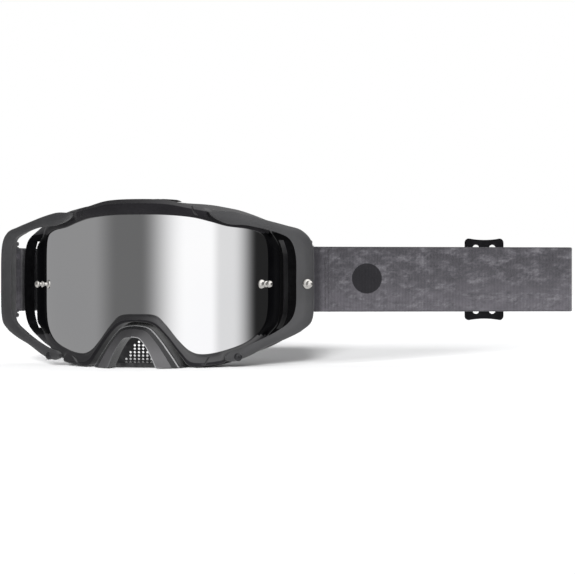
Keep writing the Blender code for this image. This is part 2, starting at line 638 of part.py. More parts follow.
def build_guard():
    right = list(zip(*GUARD_OUTLINES))
    left = [((-outer[0], outer[1]), (-inner[0], inner[1])) for outer, inner in right[:0:-1]]

    def bowed(x, y, z):
        return (x, y + GUARD_BOW * x * x, z)

    sections = []
    for outer, inner in left + right:
        outer, inner = np.array(outer), np.array(inner)
        ridge = GUARD_RIDGE_SHARE * outer + (1 - GUARD_RIDGE_SHARE) * inner
        # the outer wall flares back to close the gap to the frame
        across = outer - inner
        flare = GUARD_FLARE + GUARD_FLARE_GAIN * ramp(abs(outer[0]), *GUARD_FLARE_X)
        rear = outer + across / np.linalg.norm(across) * flare
        sections.append([bowed(outer[0], GUARD_OUTER_Y[0], outer[1]),
                         bowed(ridge[0], GUARD_RIDGE_Y, ridge[1]),
                         bowed(inner[0], GUARD_INNER_Y, inner[1]),
                         (inner[0], GUARD_REAR_Y, inner[1]),
                         (rear[0], GUARD_REAR_Y, rear[1]),
                         bowed(outer[0], GUARD_OUTER_Y[1], outer[1])])
    skin("nose_guard", sections, GUARD_MAT, smooth=40.0)


def build_screen_holes():
    """Six-sided cutters in rows that widen downwards, as one object."""
    verts, faces = [], []
    for row in range(HOLE_ROWS):
        z = HOLE_TOP - HOLE_PITCH * row
        each_side = min(1 + (row + 1) // 2, 3)
        for k in range(-each_side, each_side + 1):
            x = HOLE_PITCH * k
            first = len(verts)
            for y in HOLE_Y:
                for corner in range(HOLE_SIDES):
                    angle = 2 * math.pi * corner / HOLE_SIDES
                    verts.append((x + HOLE_R * math.cos(angle), y,
                                  z + HOLE_R * math.sin(angle)))
            faces += [tuple(first + v for v in face)
                      for face in tube_faces(2, HOLE_SIDES, closed=False)]
    return make("screen_holes", verts, faces, SCREEN_MAT, smooth=None)


def build_screen():
    """A vent plate across the guard's opening, pierced in rows, with its rim."""
    edge = [(x - (SCREEN_SIDE_GAP if x > 0.5 else 0.0), z - SCREEN_TOP_GAP)
            for x, z in GUARD_OUTLINES[1]]
    edge[-1] = (edge[-1][0], SCREEN_BOTTOM)
    outline = [(-x, z) for x, z in edge[:0:-1]] + edge
    plate = skin("nose_vent_screen", [[(x, y, z) for x, z in outline] for y in SCREEN_Y],
                 SCREEN_MAT, smooth=30.0)
    boolean(plate, build_screen_holes(), 'DIFFERENCE')
    front, rear = RIM_Y
    rim = prism("screen_rim",
                [(-RIM_HALF_WIDTH, front), (RIM_HALF_WIDTH, front),
                 (RIM_HALF_WIDTH, rear), (-RIM_HALF_WIDTH, rear)],
                FOOT_Z, FOOT_Z + RIM_HEIGHT, SCREEN_MAT)
    boolean(plate, rim, 'UNION')


# ----------------------------------------------------------------------- strap
STRAP_HEADING = 17.7    # degrees from +X of the front layer, laid out flat
FRONT_LINKS = (42.0, 42.0, 77.0)    # right bar to fold
TAIL = 90.0             # rear layer carried by the fold
FOLD_OFF = 3.2          # fold pin to the middle of either layer
FOLD_END_GAP = 3.7      # last front link stops this short of the fold
TEMPLE = (-88.5, 73.0)  # where the left strap turns round the foam
LEFT_HEADING = 3.3466   # degrees from +X of the rear layer
LEFT_LINK = 85.986      # length of each of its three links
BEND_R = 1.5            # barrel of a bend in the webbing
LINK_GAP = BEND_R + 0.4     # a link stops this short of the next hinge line
EYE_R = BAR_R + 0.45    # inside of the eye round a bar
EYE_SLIT = 4            # half angle of the eye's slit, degrees


def heading(degrees):
    angle = math.radians(degrees)
    return np.array([math.cos(angle), math.sin(angle)])


def arc(centre, radius, start, end, steps):
    return [tuple(centre + radius * heading(start + (end - start) * k / steps))
            for k in range(steps + 1)]


def webbing(name, outline, hinge):
    prism(name, outline, STRAP_Z0, STRAP_Z1, STRAP_MAT, origin=(hinge[0], hinge[1], 0.0))


def sleeve_link(name, bar, degrees, length):
    """Webbing sewn round a bar: an eye, then a flat run. A slit through the eye
    opposite the run keeps the outline a single loop."""
    half = STRAP_T / 2
    outer_r = EYE_R + STRAP_T
    run_angle = math.degrees(math.asin(half / outer_r))
    tip = bar + heading(degrees) * (length - LINK_GAP)
    offset = heading(degrees + 90) * half
    slit_start, slit_end = degrees + 180 - EYE_SLIT, degrees + 180 + EYE_SLIT
    outline = ([tuple(tip + offset)]
               + arc(bar, outer_r, degrees + run_angle, slit_start, 9)
               + arc(bar, EYE_R, slit_start, degrees, 8)[:-1]
               + arc(bar, EYE_R, degrees + 360, slit_end, 8)
               + arc(bar, outer_r, slit_end, degrees + 360 - run_angle, 9)
               + [tuple(tip - offset)])
    webbing(name, outline, bar)


def run_link(name, start, degrees, length, end_gap, side=0.0, barrel=BEND_R):
    """A flat run of webbing that starts with a round bend on its hinge line;
    side sets the run off to the left of its heading."""
    normal = heading(degrees + 90)
    tip = start + heading(degrees) * (length - end_gap)
    low, high = side - STRAP_T / 2, side + STRAP_T / 2
    # clamped, as the tail's face is tangent to its barrel
    low_angle, high_angle = (math.degrees(math.asin(max(-1, min(1, level / barrel))))
                             for level in (low, high))
    bend = arc(start, barrel, degrees + high_angle, degrees + 360 + low_angle, 16)
    webbing(name, [tuple(tip + normal * high)] + bend + [tuple(tip + normal * low)], start)


def build_right_strap():
    """The front layer from the right bar to the fold, and the tail behind it."""
    along = heading(STRAP_HEADING)
    hinges = [np.array([BAR_X, BAR_Y])]
    for length in FRONT_LINKS:
        hinges.append(hinges[-1] + along * length)
    sleeve_link("strap_front_1", hinges[0], STRAP_HEADING, FRONT_LINKS[0])
    run_link("strap_front_2", hinges[1], STRAP_HEADING, FRONT_LINKS[1], LINK_GAP)
    run_link("strap_front_3", hinges[2], STRAP_HEADING, FRONT_LINKS[2], FOLD_END_GAP)
    fold = hinges[3] + heading(STRAP_HEADING + 90) * FOLD_OFF
    run_link("strap_tail", fold, STRAP_HEADING + 180, TAIL, 0.0,
             side=-FOLD_OFF, barrel=FOLD_OFF + STRAP_T / 2)


def build_left_strap():
    """From the left bar round the temple, then behind the goggle towards +X."""
    bar, hinge = np.array([-BAR_X, BAR_Y]), np.array(TEMPLE)
    wrap = hinge - bar
    sleeve_link("strap_rear_1", bar, math.degrees(math.atan2(wrap[1], wrap[0])),
                float(np.linalg.norm(wrap)))
    for number, end_gap in ((2, LINK_GAP), (3, LINK_GAP), (4, 0.0)):
        run_link("strap_rear_%d" % number, hinge, LEFT_HEADING, LEFT_LINK, end_gap)
        hinge = hinge + heading(LEFT_HEADING) * LEFT_LINK


# ---------------------------------------------------------------------- slider
SLIDER_AT = 108.7       # slider centre, measured along the strap from the bar
SLIDER_W, SLIDER_H, SLIDER_T = 23.5, 50.5, 1.7
SLIDER_CORNER_R = 2.6
SLIDER_DIP = 0.9        # hollow in the top and bottom edges
SLIDER_DIP_SHARE = 0.35     # its half length, as a share of the half width
SLOT_AT = 5.2           # slot centres either side of the middle bar
SLOT_HALF_W, SLOT_HALF_H, SLOT_CORNER_R = 2.3, 22.2, 1.6
SLOT_OVERCUT = 1.5
CORNERS = ((1, 1, 0), (-1, 1, 90), (-1, -1, 180), (1, -1, 270))  # signs, first angle


def rounded_corner(corner, half_width, half_height, radius, steps):
    """Points round one corner of a rectangle centred on zero."""
    sign_x, sign_z, start = corner
    centre = (sign_x * (half_width - radius), sign_z * (half_height - radius))
    return arc(np.array(centre), radius, start, start + 90, steps)


def build_slider():
    """A three-bar glide lying flat behind the front layer of the strap."""
    half_width, half_height = SLIDER_W / 2, SLIDER_H / 2
    middle_z = 0.5 * (STRAP_Z0 + STRAP_Z1)
    edge = []
    for corner in CORNERS:
        edge += rounded_corner(corner, half_width, half_height, SLIDER_CORNER_R, 4)
        sign_x, sign_z, _ = corner
        if sign_x == sign_z:
            dip_x = sign_x * half_width * SLIDER_DIP_SHARE
            dip_z = sign_z * (half_height - SLIDER_DIP)
            edge += [(dip_x, dip_z), (-dip_x, dip_z)]
    along, normal = heading(STRAP_HEADING), heading(STRAP_HEADING + 90)
    centre = np.array([BAR_X, BAR_Y]) + along * SLIDER_AT
    near = STRAP_T / 2 + GAP
    far = near + SLIDER_T

    def plates(outline, depths):
        """The outline (along the strap, z) at each depth behind the strap's middle."""
        return [[(*(centre + along * u + normal * depth), middle_z + z) for u, z in outline]
                for depth in depths]

    body = skin("slider", plates(edge, (near, far)), SLIDER_MAT,
                origin=(centre[0], centre[1], middle_z))
    for number, slot_at in enumerate((-SLOT_AT, SLOT_AT)):
        slot = [(slot_at + u, z) for corner in CORNERS
                for u, z in rounded_corner(corner, SLOT_HALF_W, SLOT_HALF_H,
                                           SLOT_CORNER_R, 3)]
        tool = skin("slider_slot_%d" % number,
                    plates(slot, (near - SLOT_OVERCUT, far + SLOT_OVERCUT)),
                    SLIDER_MAT, smooth=None)
        boolean(body, tool, 'DIFFERENCE')


# -------------------------------------------------------------------- assembly
def build_goggles():
    frame = build_frame()
    cut_temple_slits(frame)
    cut_vent_slots(frame)
    build_lens_posts(build_lens())
    for side, side_name in SIDES:
        outrigger = build_outrigger(side, side_name)
        build_outrigger_pin(side, side_name, outrigger, frame)
    build_pull_tab_post()
    build_padding()
    build_vent_foams()
    build_guard()
    build_screen()
    build_right_strap()
    build_left_strap()
    build_slider()


build_goggles()
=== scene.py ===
"""Looks for motocross goggles: frame, mirror lens, face padding, strap, and a studio.
Points are drawn in millimetres about the front of the nose bridge, then moved by SHIFT
and scaled to metres. The goggles stand upright: the lens faces -Y, the face side is +Y,
the pieces named right are at +X and +Z is up."""
import bpy
import bmesh
import math
import numpy as np
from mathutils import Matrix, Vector


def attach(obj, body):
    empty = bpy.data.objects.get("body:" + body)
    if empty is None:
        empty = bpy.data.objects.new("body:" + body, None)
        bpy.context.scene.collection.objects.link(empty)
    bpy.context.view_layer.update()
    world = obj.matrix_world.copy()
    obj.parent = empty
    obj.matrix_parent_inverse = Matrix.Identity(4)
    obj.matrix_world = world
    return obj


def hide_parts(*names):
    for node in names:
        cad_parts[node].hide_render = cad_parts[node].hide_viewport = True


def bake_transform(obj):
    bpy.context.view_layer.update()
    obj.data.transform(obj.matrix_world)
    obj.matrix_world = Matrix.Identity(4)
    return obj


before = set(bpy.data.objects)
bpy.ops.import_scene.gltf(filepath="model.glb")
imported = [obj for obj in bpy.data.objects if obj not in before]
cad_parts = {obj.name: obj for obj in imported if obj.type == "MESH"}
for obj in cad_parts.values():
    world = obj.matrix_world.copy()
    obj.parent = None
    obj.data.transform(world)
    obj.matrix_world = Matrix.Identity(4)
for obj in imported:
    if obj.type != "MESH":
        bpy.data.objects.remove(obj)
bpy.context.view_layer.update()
scene = bpy.context.scene

MM = 0.001
SHIFT = np.array([0.0, -7.2, 49.8])     # drawing origin in the row frame, mm

# Strap size and the bars it turns round, mm
STRAP_WIDTH, STRAP_T = 40.0, 1.6
STRAP_Z0 = -17.0
STRAP_Z1 = STRAP_Z0 + STRAP_WIDTH
BAR_X, BAR_Y, BAR_R = 95.5, 52.0, 1.6


# ================================================================ node graphs
class Graph:
    """The nodes of a material or a world."""

    def __init__(self, owner):
        owner.use_nodes = True
        self.owner = owner
        self.tree = owner.node_tree

    def feed(self, node, inputs):
        for key, value in inputs.items():
            socket = node.inputs[key if isinstance(key, int) else key.replace("_", " ")]
            if isinstance(value, bpy.types.NodeSocket):
                self.tree.links.new(value, socket)
            else:
                if socket.type == 'RGBA' and len(value) == 3:
                    value = (*value, 1.0)
                socket.default_value = value

    def add(self, kind, inputs=None, **props):
        node = self.tree.nodes.new("ShaderNode" + kind)
        for prop, value in props.items():
            setattr(node, prop, value)
        self.feed(node, inputs or {})
        return node

    def coords(self, what="Object"):
        return self.add("TexCoord").outputs[what]

    def geometry(self, what):
        return self.add("NewGeometry").outputs[what]

    def split(self, vector):
        return self.add("SeparateXYZ", {"Vector": vector}).outputs

    def noise(self, vector, scale, detail=3.0, rough=0.55):
        return self.add("TexNoise", {"Vector": vector, "Scale": scale, "Detail": detail,
                                     "Roughness": rough}).outputs["Fac"]

    def stretched(self, vector, factors, detail, rough=0.55, turn=(0, 0, 0)):
        """Noise with its own scale on each axis."""
        mapped = self.add("Mapping", {"Vector": vector, "Scale": factors, "Rotation": turn})
        return self.noise(mapped.outputs["Vector"], 1.0, detail, rough)

    def cells(self, vector, scale):
        return self.add("TexVoronoi", {"Vector": vector, "Scale": scale}).outputs["Distance"]

    def math(self, operation, first, second=0.0):
        return self.add("Math", {0: first, 1: second}, operation=operation).outputs[0]

    def times(self, first, second):
        return self.math('MULTIPLY', first, second)

    def weighted(self, *pairs):
        """Sum of (value, weight) pairs."""
        parts = [self.times(value, weight) for value, weight in pairs]
        total = parts[0]
        for part in parts[1:]:
            total = self.math('ADD', total, part)
        return total

    def ramp(self, fac, stops, interpolation='LINEAR'):
        node = self.add("ValToRGB", {"Fac": fac})
        band = node.color_ramp
        band.interpolation = interpolation
        while len(band.elements) < len(stops):
            band.elements.new(0.5)
        for element, (position, colour) in zip(band.elements, stops):
            element.position = position
            element.color = (*colour, 1.0)
        return node.outputs["Color"]

    def mix(self, fac, first, second, mode='MIX'):
        return self.add("Mix", {0: fac, 6: first, 7: second} if False else None).outputs[2] \
            if False else self.mix_node(fac, first, second, mode).outputs[2]

    def mix_node(self, fac, first, second, mode):
        node = self.add("Mix", data_type='RGBA', blend_type=mode)
        self.feed(node, {0: fac, 6: first, 7: second})
        return node

    def remap(self, value, span, to=(0.0, 1.0)):
        """Carry the span onto another, clamped at both ends."""
        return self.add("MapRange", {0: value, 1: span[0], 2: span[1], 3: to[0], 4: to[1]},
                        clamp=True).outputs[0]

    def bump(self, height, dist, strength):
        return self.add("Bump", {"Height": height, "Distance": dist,
                                 "Strength": strength}).outputs["Normal"]

    def finish(self, **inputs):
        self.feed(self.tree.nodes["Principled BSDF"], inputs)
        return self.owner


def material(name):
    return Graph(bpy.data.materials.new(name))


# ================================================================== materials
def plastic(name, dark, light, rough, grain=0.00003, wear=0.35, wear_tone=(0.2, 0.2, 0.205),
            spec=0.5, under=None, fade=None):
    """Moulded plastic: fine grain, slow tone drift and rubbed edges.
    under: specular level of faces that look down. fade: heights (m) between which
    the tone darkens upwards, a painted shade."""
    mat = material(name)
    pos = mat.coords()
    drift = mat.noise(pos, scale=38.0, detail=4.0)
    tone = mat.mix(mat.remap(drift, span=(0.35, 0.65)), dark, light)
    edge = mat.remap(mat.geometry("Pointiness"), span=(0.515, 0.60))
    patchy = mat.remap(mat.noise(pos, scale=320.0, detail=4.0), span=(0.35, 0.75), to=(0.15, 1.0))
    tone = mat.mix(mat.times(mat.times(edge, patchy), wear), tone, wear_tone)
    # painted shade: the tone darkens upwards between the fade heights
    if fade:
        height = mat.split(pos)["Z"]
        tone = mat.mix(mat.remap(height, span=fade, to=(0.0, 0.72)), tone,
                       tuple(c * 0.12 for c in dark))
    if under is not None:
        facing = mat.split(mat.geometry("Normal"))["Z"]
        spec = mat.remap(facing, span=(-0.10, 0.06), to=(under, spec))
    fine = mat.noise(pos, scale=3600.0, detail=2.0)
    medium = mat.noise(pos, scale=900.0, detail=3.0)
    relief = mat.weighted((fine, 0.65), (medium, 0.35))
    gloss = mat.remap(mat.noise(pos, scale=150.0, detail=5.0), span=(0.3, 0.7),
                      to=(rough - 0.06, rough + 0.07))
    return mat.finish(Base_Color=tone, Roughness=gloss, Specular_IOR_Level=spec,
                      Normal=mat.bump(relief, dist=grain, strength=0.6))


def mirror(name):
    """Silver coating, almost clean, with a trace of haze and smears."""
    mat = material(name)
    pos = mat.coords()
    tint = mat.mix(mat.remap(mat.noise(pos, scale=9.0, detail=2.0), span=(0.35, 0.65)),
                   (0.86, 0.862, 0.868), (0.89, 0.888, 0.884))
    haze = mat.remap(mat.noise(pos, scale=60.0, detail=5.0, rough=0.6), span=(0.42, 0.75),
                     to=(0.035, 0.085))
    smear = mat.stretched(pos, factors=(90.0, 90.0, 700.0), turn=(0.2, 0.5, 0.1), detail=3.0)
    rough = mat.math('ADD', haze, mat.remap(smear, span=(0.62, 0.8), to=(0.0, 0.03)))
    ripple = mat.noise(pos, scale=14.0, detail=1.0)
    return mat.finish(Base_Color=tint, Metallic=1.0, Roughness=rough,
                      Normal=mat.bump(ripple, dist=0.00002, strength=0.25))


def metal(name):
    mat = material(name)
    pos = mat.coords()
    fine = mat.noise(pos, scale=2600.0, detail=3.0)
    return mat.finish(
        Base_Color=mat.mix(mat.noise(pos, scale=700.0), (0.55, 0.53, 0.50), (0.82, 0.80, 0.77)),
        Metallic=1.0, Roughness=mat.remap(fine, span=(0.3, 0.7), to=(0.12, 0.32)),
        Normal=mat.bump(fine, dist=0.00002, strength=0.5))


def foam(name, pit, skin, cell, depth, fuzz=0.25):
    """Open-cell foam: pits of two sizes, and a matte skin between them."""
    mat = material(name)
    pos = mat.coords()
    large = mat.cells(pos, scale=cell)
    small = mat.cells(pos, scale=cell * 2.3)
    # the pits are painted darker than the skin between them: painted shade in the pores
    shade = mat.times(mat.remap(large, span=(0.1, 0.55), to=(0.35, 1.0)),
                      mat.remap(small, span=(0.1, 0.5), to=(0.7, 1.0)))
    tone = mat.mix(shade, pit, skin)
    drift = mat.noise(pos, scale=60.0, detail=4.0)
    tone = mat.mix(mat.remap(drift, span=(0.3, 0.7), to=(0.0, 0.35)), tone, pit)
    relief = mat.weighted((large, 0.7), (small, 0.3))
    return mat.finish(Base_Color=tone, Roughness=0.95, Sheen_Weight=fuzz, Sheen_Roughness=0.6,
                      Specular_IOR_Level=0.15, Normal=mat.bump(relief, dist=depth, strength=0.9))


def fleece(name):
    mat = material(name)
    pos = mat.coords()
    tuft = mat.noise(pos, scale=1500.0, detail=4.0, rough=0.7)
    clump = mat.noise(pos, scale=420.0, detail=4.0, rough=0.6)
    pill = mat.cells(pos, scale=1100.0)
    relief = mat.math('ADD', mat.times(tuft, 0.5), mat.weighted((clump, 0.3), (pill, 0.2)))
    tone = mat.mix(mat.remap(relief, span=(0.3, 0.7)), (0.018, 0.018, 0.02), (0.062, 0.06, 0.064))
    return mat.finish(Base_Color=tone, Roughness=1.0, Sheen_Weight=0.55, Sheen_Roughness=0.45,
                      Specular_IOR_Level=0.1, Normal=mat.bump(relief, dist=0.0006, strength=0.9))


# Weave of the strap, mm
RIB_PITCH, PICK_PITCH = 0.92, 0.74
DOT_ALONG, DOT_ACROSS = 31.0, 20.5      # centre of the printed dot
DOT_EDGE = (9.1, 9.5)                   # radii between which the dot ends


def print_pattern(mat, uv, along, across, yarn):
    """A mottled grey gradient with marbled patches and one dark dot, with painted shade where the
    webbing turns round the bar.
    """
    tone = mat.ramp(mat.math('DIVIDE', across, STRAP_WIDTH),
                    [(0.0, (0.138, 0.130, 0.147)), (0.22, (0.122, 0.115, 0.130)),
                     (0.55, (0.066, 0.063, 0.071)), (1.0, (0.046, 0.044, 0.050))])
    mottle = mat.stretched(uv, factors=(0.10, 0.16, 1.0), detail=5.0, rough=0.6)
    tone = mat.mix(mat.remap(mottle, span=(0.3, 0.72), to=(0.0, 0.60)), tone,
                   (0.036, 0.035, 0.040))
    ink = mat.stretched(uv, factors=(1.4, 0.7, 1.0), detail=2.0, rough=0.7)
    tone = mat.mix(mat.remap(ink, span=(0.35, 0.7), to=(0.0, 0.30)), tone, (0.135, 0.130, 0.142))
    slanted = mat.add("VectorRotate", {"Vector": uv, "Angle": math.radians(47.0)},
                      rotation_type='Z_AXIS').outputs[0]
    rock = mat.stretched(uv, factors=(0.22, 0.42, 1.0), detail=6.0, rough=0.72)
    ledge = mat.stretched(slanted, factors=(0.5, 0.16, 1.0), detail=4.0, rough=0.7)
    slab = mat.stretched(uv, factors=(0.085, 0.17, 1.0), detail=3.0, rough=0.6)
    marble = mat.ramp(mat.weighted((rock, 0.40), (ledge, 0.25), (slab, 0.35)),
                      [(0.40, (0.030, 0.029, 0.033)), (0.47, (0.062, 0.060, 0.067)),
                       (0.53, (0.110, 0.106, 0.118)), (0.62, (0.190, 0.184, 0.198))])
    tone = mat.mix(mat.remap(slab, span=(0.42, 0.60), to=(0.15, 0.70)), tone, marble)
    off_along = mat.math('SUBTRACT', along, DOT_ALONG)
    off_across = mat.math('SUBTRACT', across, DOT_ACROSS)
    radius = mat.math('SQRT', mat.math('ADD', mat.times(off_along, off_along),
                                       mat.times(off_across, off_across)))
    ragged = mat.math('ADD', radius, mat.remap(yarn, span=(0.3, 0.7), to=(-0.12, 0.12)))
    tone = mat.mix(mat.remap(ragged, span=DOT_EDGE, to=(0.95, 0.0)), tone,
                   (0.0125, 0.0120, 0.0145))
    # painted shade: the webbing is darkened where it turns round the bar
    return mat.mix(mat.remap(along, span=(0.4, 3.6), to=(0.80, 0.0)), tone, (0.020, 0.019, 0.023))


def webbing(name, printed):
    """Woven elastic; the UVs are millimetres along and across the strap."""
    mat = material(name)
    uv = mat.coords("UV")
    axes = mat.split(uv)
    along, across = axes["X"], axes["Y"]
    # ribs across the strap, each bound by fine picks that alternate
    rib = mat.math('SINE', mat.times(along, 2 * math.pi / RIB_PITCH))
    phase = mat.times(mat.math('SIGN', rib), math.pi / 2)
    pick = mat.math('SINE', mat.math('ADD', mat.times(across, 2 * math.pi / PICK_PITCH), phase))
    height = mat.weighted((rib, 0.6), (pick, 0.4))
    yarn = mat.stretched(uv, factors=(3.4, 1.2, 1.0), detail=3.0)
    height = mat.math('ADD', height, mat.times(yarn, 0.5))
    if printed:
        tone = print_pattern(mat, uv, along, across, yarn)
    else:
        drift = mat.stretched(uv, factors=(0.05, 0.2, 1.0), detail=4.0)
        tone = mat.mix(drift, (0.034, 0.033, 0.037), (0.060, 0.058, 0.064))
    # the weave's height also sets its tone: painted shade in the grooves, painted light on the ribs
    relief = mat.remap(height, span=(-0.9, 1.3), to=(0.62, 1.18))
    tone = mat.mix(1.0, tone, relief, mode='MULTIPLY')
    rim = mat.math('MINIMUM', across, mat.math('SUBTRACT', STRAP_WIDTH, across))
    tone = mat.mix(mat.remap(rim, span=(0.25, 0.8), to=(0.75, 0.0)), tone, (0.03, 0.029, 0.033))
    return mat.finish(Base_Color=tone, Roughness=0.88, Sheen_Weight=0.25, Sheen_Roughness=0.5,
                      Specular_IOR_Level=0.2, Normal=mat.bump(height, dist=0.00009, strength=0.8))


def thread(name, tone):
    mat = material(name)
    ply = mat.noise(mat.coords(), scale=4200.0, detail=2.0)
    return mat.finish(
        Base_Color=mat.mix(ply, tuple(c * 0.6 for c in tone), tuple(c * 1.3 for c in tone)),
        Roughness=0.7, Sheen_Weight=0.3, Normal=mat.bump(ply, dist=0.00005, strength=0.7))


def floor_paint(name):
    mat = material(name)
    drift = mat.noise(mat.coords(), scale=3.0, detail=2.0)
    return mat.finish(Base_Color=mat.mix(drift, (0.325, 0.325, 0.327), (0.345, 0.345, 0.347)),
                      Roughness=0.8, Specular_IOR_Level=0.1)


M_FRAME = plastic("frame_plastic", dark=(0.0085, 0.0080, 0.0096), light=(0.0135, 0.0127, 0.0150),
                  rough=0.38, wear=0.30, wear_tone=(0.10, 0.10, 0.105), spec=0.85, under=0.16)
# near-black, smooth plastic for the lens seat, its lip and the temple recesses: painted shade
M_RECESS_SHADE = plastic("frame_recess_painted_shade", dark=(0.0014, 0.0014, 0.0018), light=(0.0024, 0.0024, 0.0030),
                 rough=0.18, grain=0.00001, wear=0.30, wear_tone=(0.05, 0.05, 0.055), spec=0.035)
M_OUTRIGGER = plastic("outrigger_plastic", dark=(0.034, 0.034, 0.0355), light=(0.046, 0.046, 0.048),
                      rough=0.42, wear=0.32, wear_tone=(0.17, 0.17, 0.175), spec=0.42)
M_GUARD = plastic("guard_plastic", dark=(0.0065, 0.0065, 0.0075), light=(0.011, 0.011, 0.0125),
                  rough=0.26, grain=0.000015, wear=0.35, wear_tone=(0.10, 0.10, 0.11), spec=0.4)
# grey facet plastic, far paler than the guard's own: painted light on the facet
M_FACET_LIT = plastic("guard_facet_painted_light", dark=(0.066, 0.064, 0.068), light=(0.098, 0.096, 0.100),
                  rough=0.34, grain=0.000015, wear=0.40, wear_tone=(0.26, 0.26, 0.27),
                  fade=(0.006, 0.024))
# pale ridge plastic: painted highlight along the guard's edges
M_RIDGE_HIGHLIGHT = plastic("guard_ridge_painted_highlight", dark=(0.20, 0.20, 0.205), light=(0.33, 0.33, 0.335),
                  rough=0.25, grain=0.000015, wear=0.3, wear_tone=(0.40, 0.40, 0.41))
M_SCREEN = plastic("screen_plastic", dark=(0.012, 0.012, 0.0135), light=(0.020, 0.020, 0.022),
                   rough=0.42, wear=0.5, wear_tone=(0.16, 0.16, 0.16), spec=0.4)
M_SLIDER = plastic("slider_plastic", dark=(0.0032, 0.0032, 0.0036), light=(0.0055, 0.0055, 0.0062),
                   rough=0.46, grain=0.00005, wear=0.25, wear_tone=(0.05, 0.05, 0.055), spec=0.045)
M_LENS = mirror("mirror_lens")
M_EDGE = plastic("lens_edge", dark=(0.018, 0.018, 0.02), light=(0.026, 0.026, 0.03),
                 rough=0.2, grain=0.000005)
M_POST = metal("post_metal")
M_FOAM_DENSE = foam("foam_dense", pit=(0.012, 0.012, 0.013), skin=(0.040, 0.040, 0.043),
                    cell=1500.0, depth=0.00025)
M_FOAM_SOFT = foam("foam_soft", pit=(0.048, 0.048, 0.051), skin=(0.155, 0.153, 0.16),
                   cell=900.0, depth=0.0005)
M_FLEECE = fleece("fleece")
M_VENT = foam("vent_foam", pit=(0.0022, 0.0022, 0.0026), skin=(0.0095, 0.0095, 0.0105),
              cell=700.0, depth=0.0006, fuzz=0.05)
M_WEB = webbing("strap_print", printed=True)
M_WEB_IN = webbing("strap_inner", printed=False)
M_THREAD = thread("strap_thread", tone=(0.060, 0.058, 0.064))


# =============================================================== mesh helpers
SIDES = ((-1, "left"), (1, "right"))
CORNER_POINTS = 4                       # points on each filleted corner


def to_frame(points):
    return (np.asarray(points, float) + SHIFT) * MM


def to_drawing(point):
    return np.array(point) / MM - SHIFT


def new_mesh(name, verts, faces, mats):
    """Verts are in the row frame, in metres."""
    mesh = bpy.data.meshes.new(name)
    mesh.from_pydata([tuple(vert) for vert in verts], [], faces)
    for mat in mats:
        mesh.materials.append(mat)
    return mesh


def orient(mesh, weld=True):
    """Turn the faces outwards, with coincident points welded first unless told not to."""
    edit = bmesh.new()
    edit.from_mesh(mesh)
    if weld:
        bmesh.ops.remove_doubles(edit, verts=edit.verts, dist=1e-7)
    bmesh.ops.recalc_face_normals(edit, faces=edit.faces)
    edit.to_mesh(mesh)
    edit.free()


def link(name, data):
    item = bpy.data.objects.new(name, data)
    scene.collection.objects.link(item)
    return item


def set_smooth(piece, angle):
    """Smooth shading, with edges beyond the angle (degrees) kept sharp."""
    piece.data.shade_smooth()
    if angle:
        piece.data.set_sharp_from_angle(angle=math.radians(angle))


def mesh_object(name, verts, faces, mats, smooth):
    mesh = new_mesh(name, verts, faces, mats)
    orient(mesh)
    piece = link(name, mesh)
    set_smooth(piece, smooth)
    return piece


def evaluated_mesh(piece):
    graph = bpy.context.evaluated_depsgraph_get()
    return bpy.data.meshes.new_from_object(piece.evaluated_get(graph))


def settle(piece):
    """Apply every modifier."""
    bpy.context.view_layer.update()
    mesh = evaluated_mesh(piece)
    piece.modifiers.clear()
    old = piece.data
    piece.data = mesh
    bpy.data.meshes.remove(old)
    return piece


def drop(piece):
    data = piece.data
    bpy.data.objects.remove(piece, do_unlink=True)
    bpy.data.meshes.remove(data)


def cut(piece, tools, how='DIFFERENCE'):
    """One exact Boolean with tools that don't touch each other."""
    edit = bmesh.new()
    for tool in tools:
        edit.from_mesh(tool.data)
    mesh = bpy.data.meshes.new("tool")
    edit.to_mesh(mesh)
    edit.free()
    joined = link("tool", mesh)
    mod = piece.modifiers.new("cut", 'BOOLEAN')
    mod.operation, mod.solver, mod.object = how, 'EXACT', joined
    settle(piece)
    for tool in (joined, *tools):
        drop(tool)


def skin_faces(rings, around, closed):
    """Quads between rings of points; an open skin gets two end caps."""
    faces = []
    for i in range(rings if closed else rings - 1):
        j = (i + 1) % rings
        for k in range(around):
            m = (k + 1) % around
            faces.append((i * around + k, i * around + m, j * around + m, j * around + k))
    if not closed:
        faces.append(tuple(range(around))[::-1])
        faces.append(tuple((rings - 1) * around + k for k in range(around)))
    return faces


def loft(name, sections, mats=(), closed=False, smooth=None):
    verts = np.concatenate([to_frame(section) for section in sections])
    faces = skin_faces(len(sections), len(sections[0]), closed)
    return mesh_object(name, verts, faces, mats, smooth)


def fillet(corners):
    """Round a closed section given as (point, setback length) corners."""
    points = [np.array(point, float) for point, _ in corners]
    rounded = []
    for i, (_, setback) in enumerate(corners):
        point, ends = points[i], []
        for other in (points[i - 1], points[(i + 1) % len(points)]):
            length = np.linalg.norm(other - point)
            reach = min(setback, 0.45 * length) / max(length, 1e-9)
            ends.append(point + (other - point) * reach)
        for k in range(CORNER_POINTS):
            t = k / (CORNER_POINTS - 1)
            rounded.append(ends[0] * (1 - t) ** 2 + 2 * point * t * (1 - t) + ends[1] * t * t)
    return rounded


def catmull(before, start, end, after, t):
    return 0.5 * (2 * start + (end - before) * t
                  + (2 * before - 5 * start + 4 * end - after) * t * t
                  + (3 * start - before - 3 * end + after) * t ** 3)


def loop_through(half, steps):
    """A closed loop from the x >= 0 half; every even column is mirrored."""
    rows = [np.array(row, float) for row in half]
    flip = np.tile((-1.0, 1.0), len(rows[0]) // 2)
    rows += [row * flip for row in rows[-2:0:-1]]
    count = len(rows)
    return np.array([catmull(rows[i - 1], rows[i], rows[(i + 1) % count], rows[(i + 2) % count],
                             k / steps)
                     for i in range(count) for k in range(steps)])


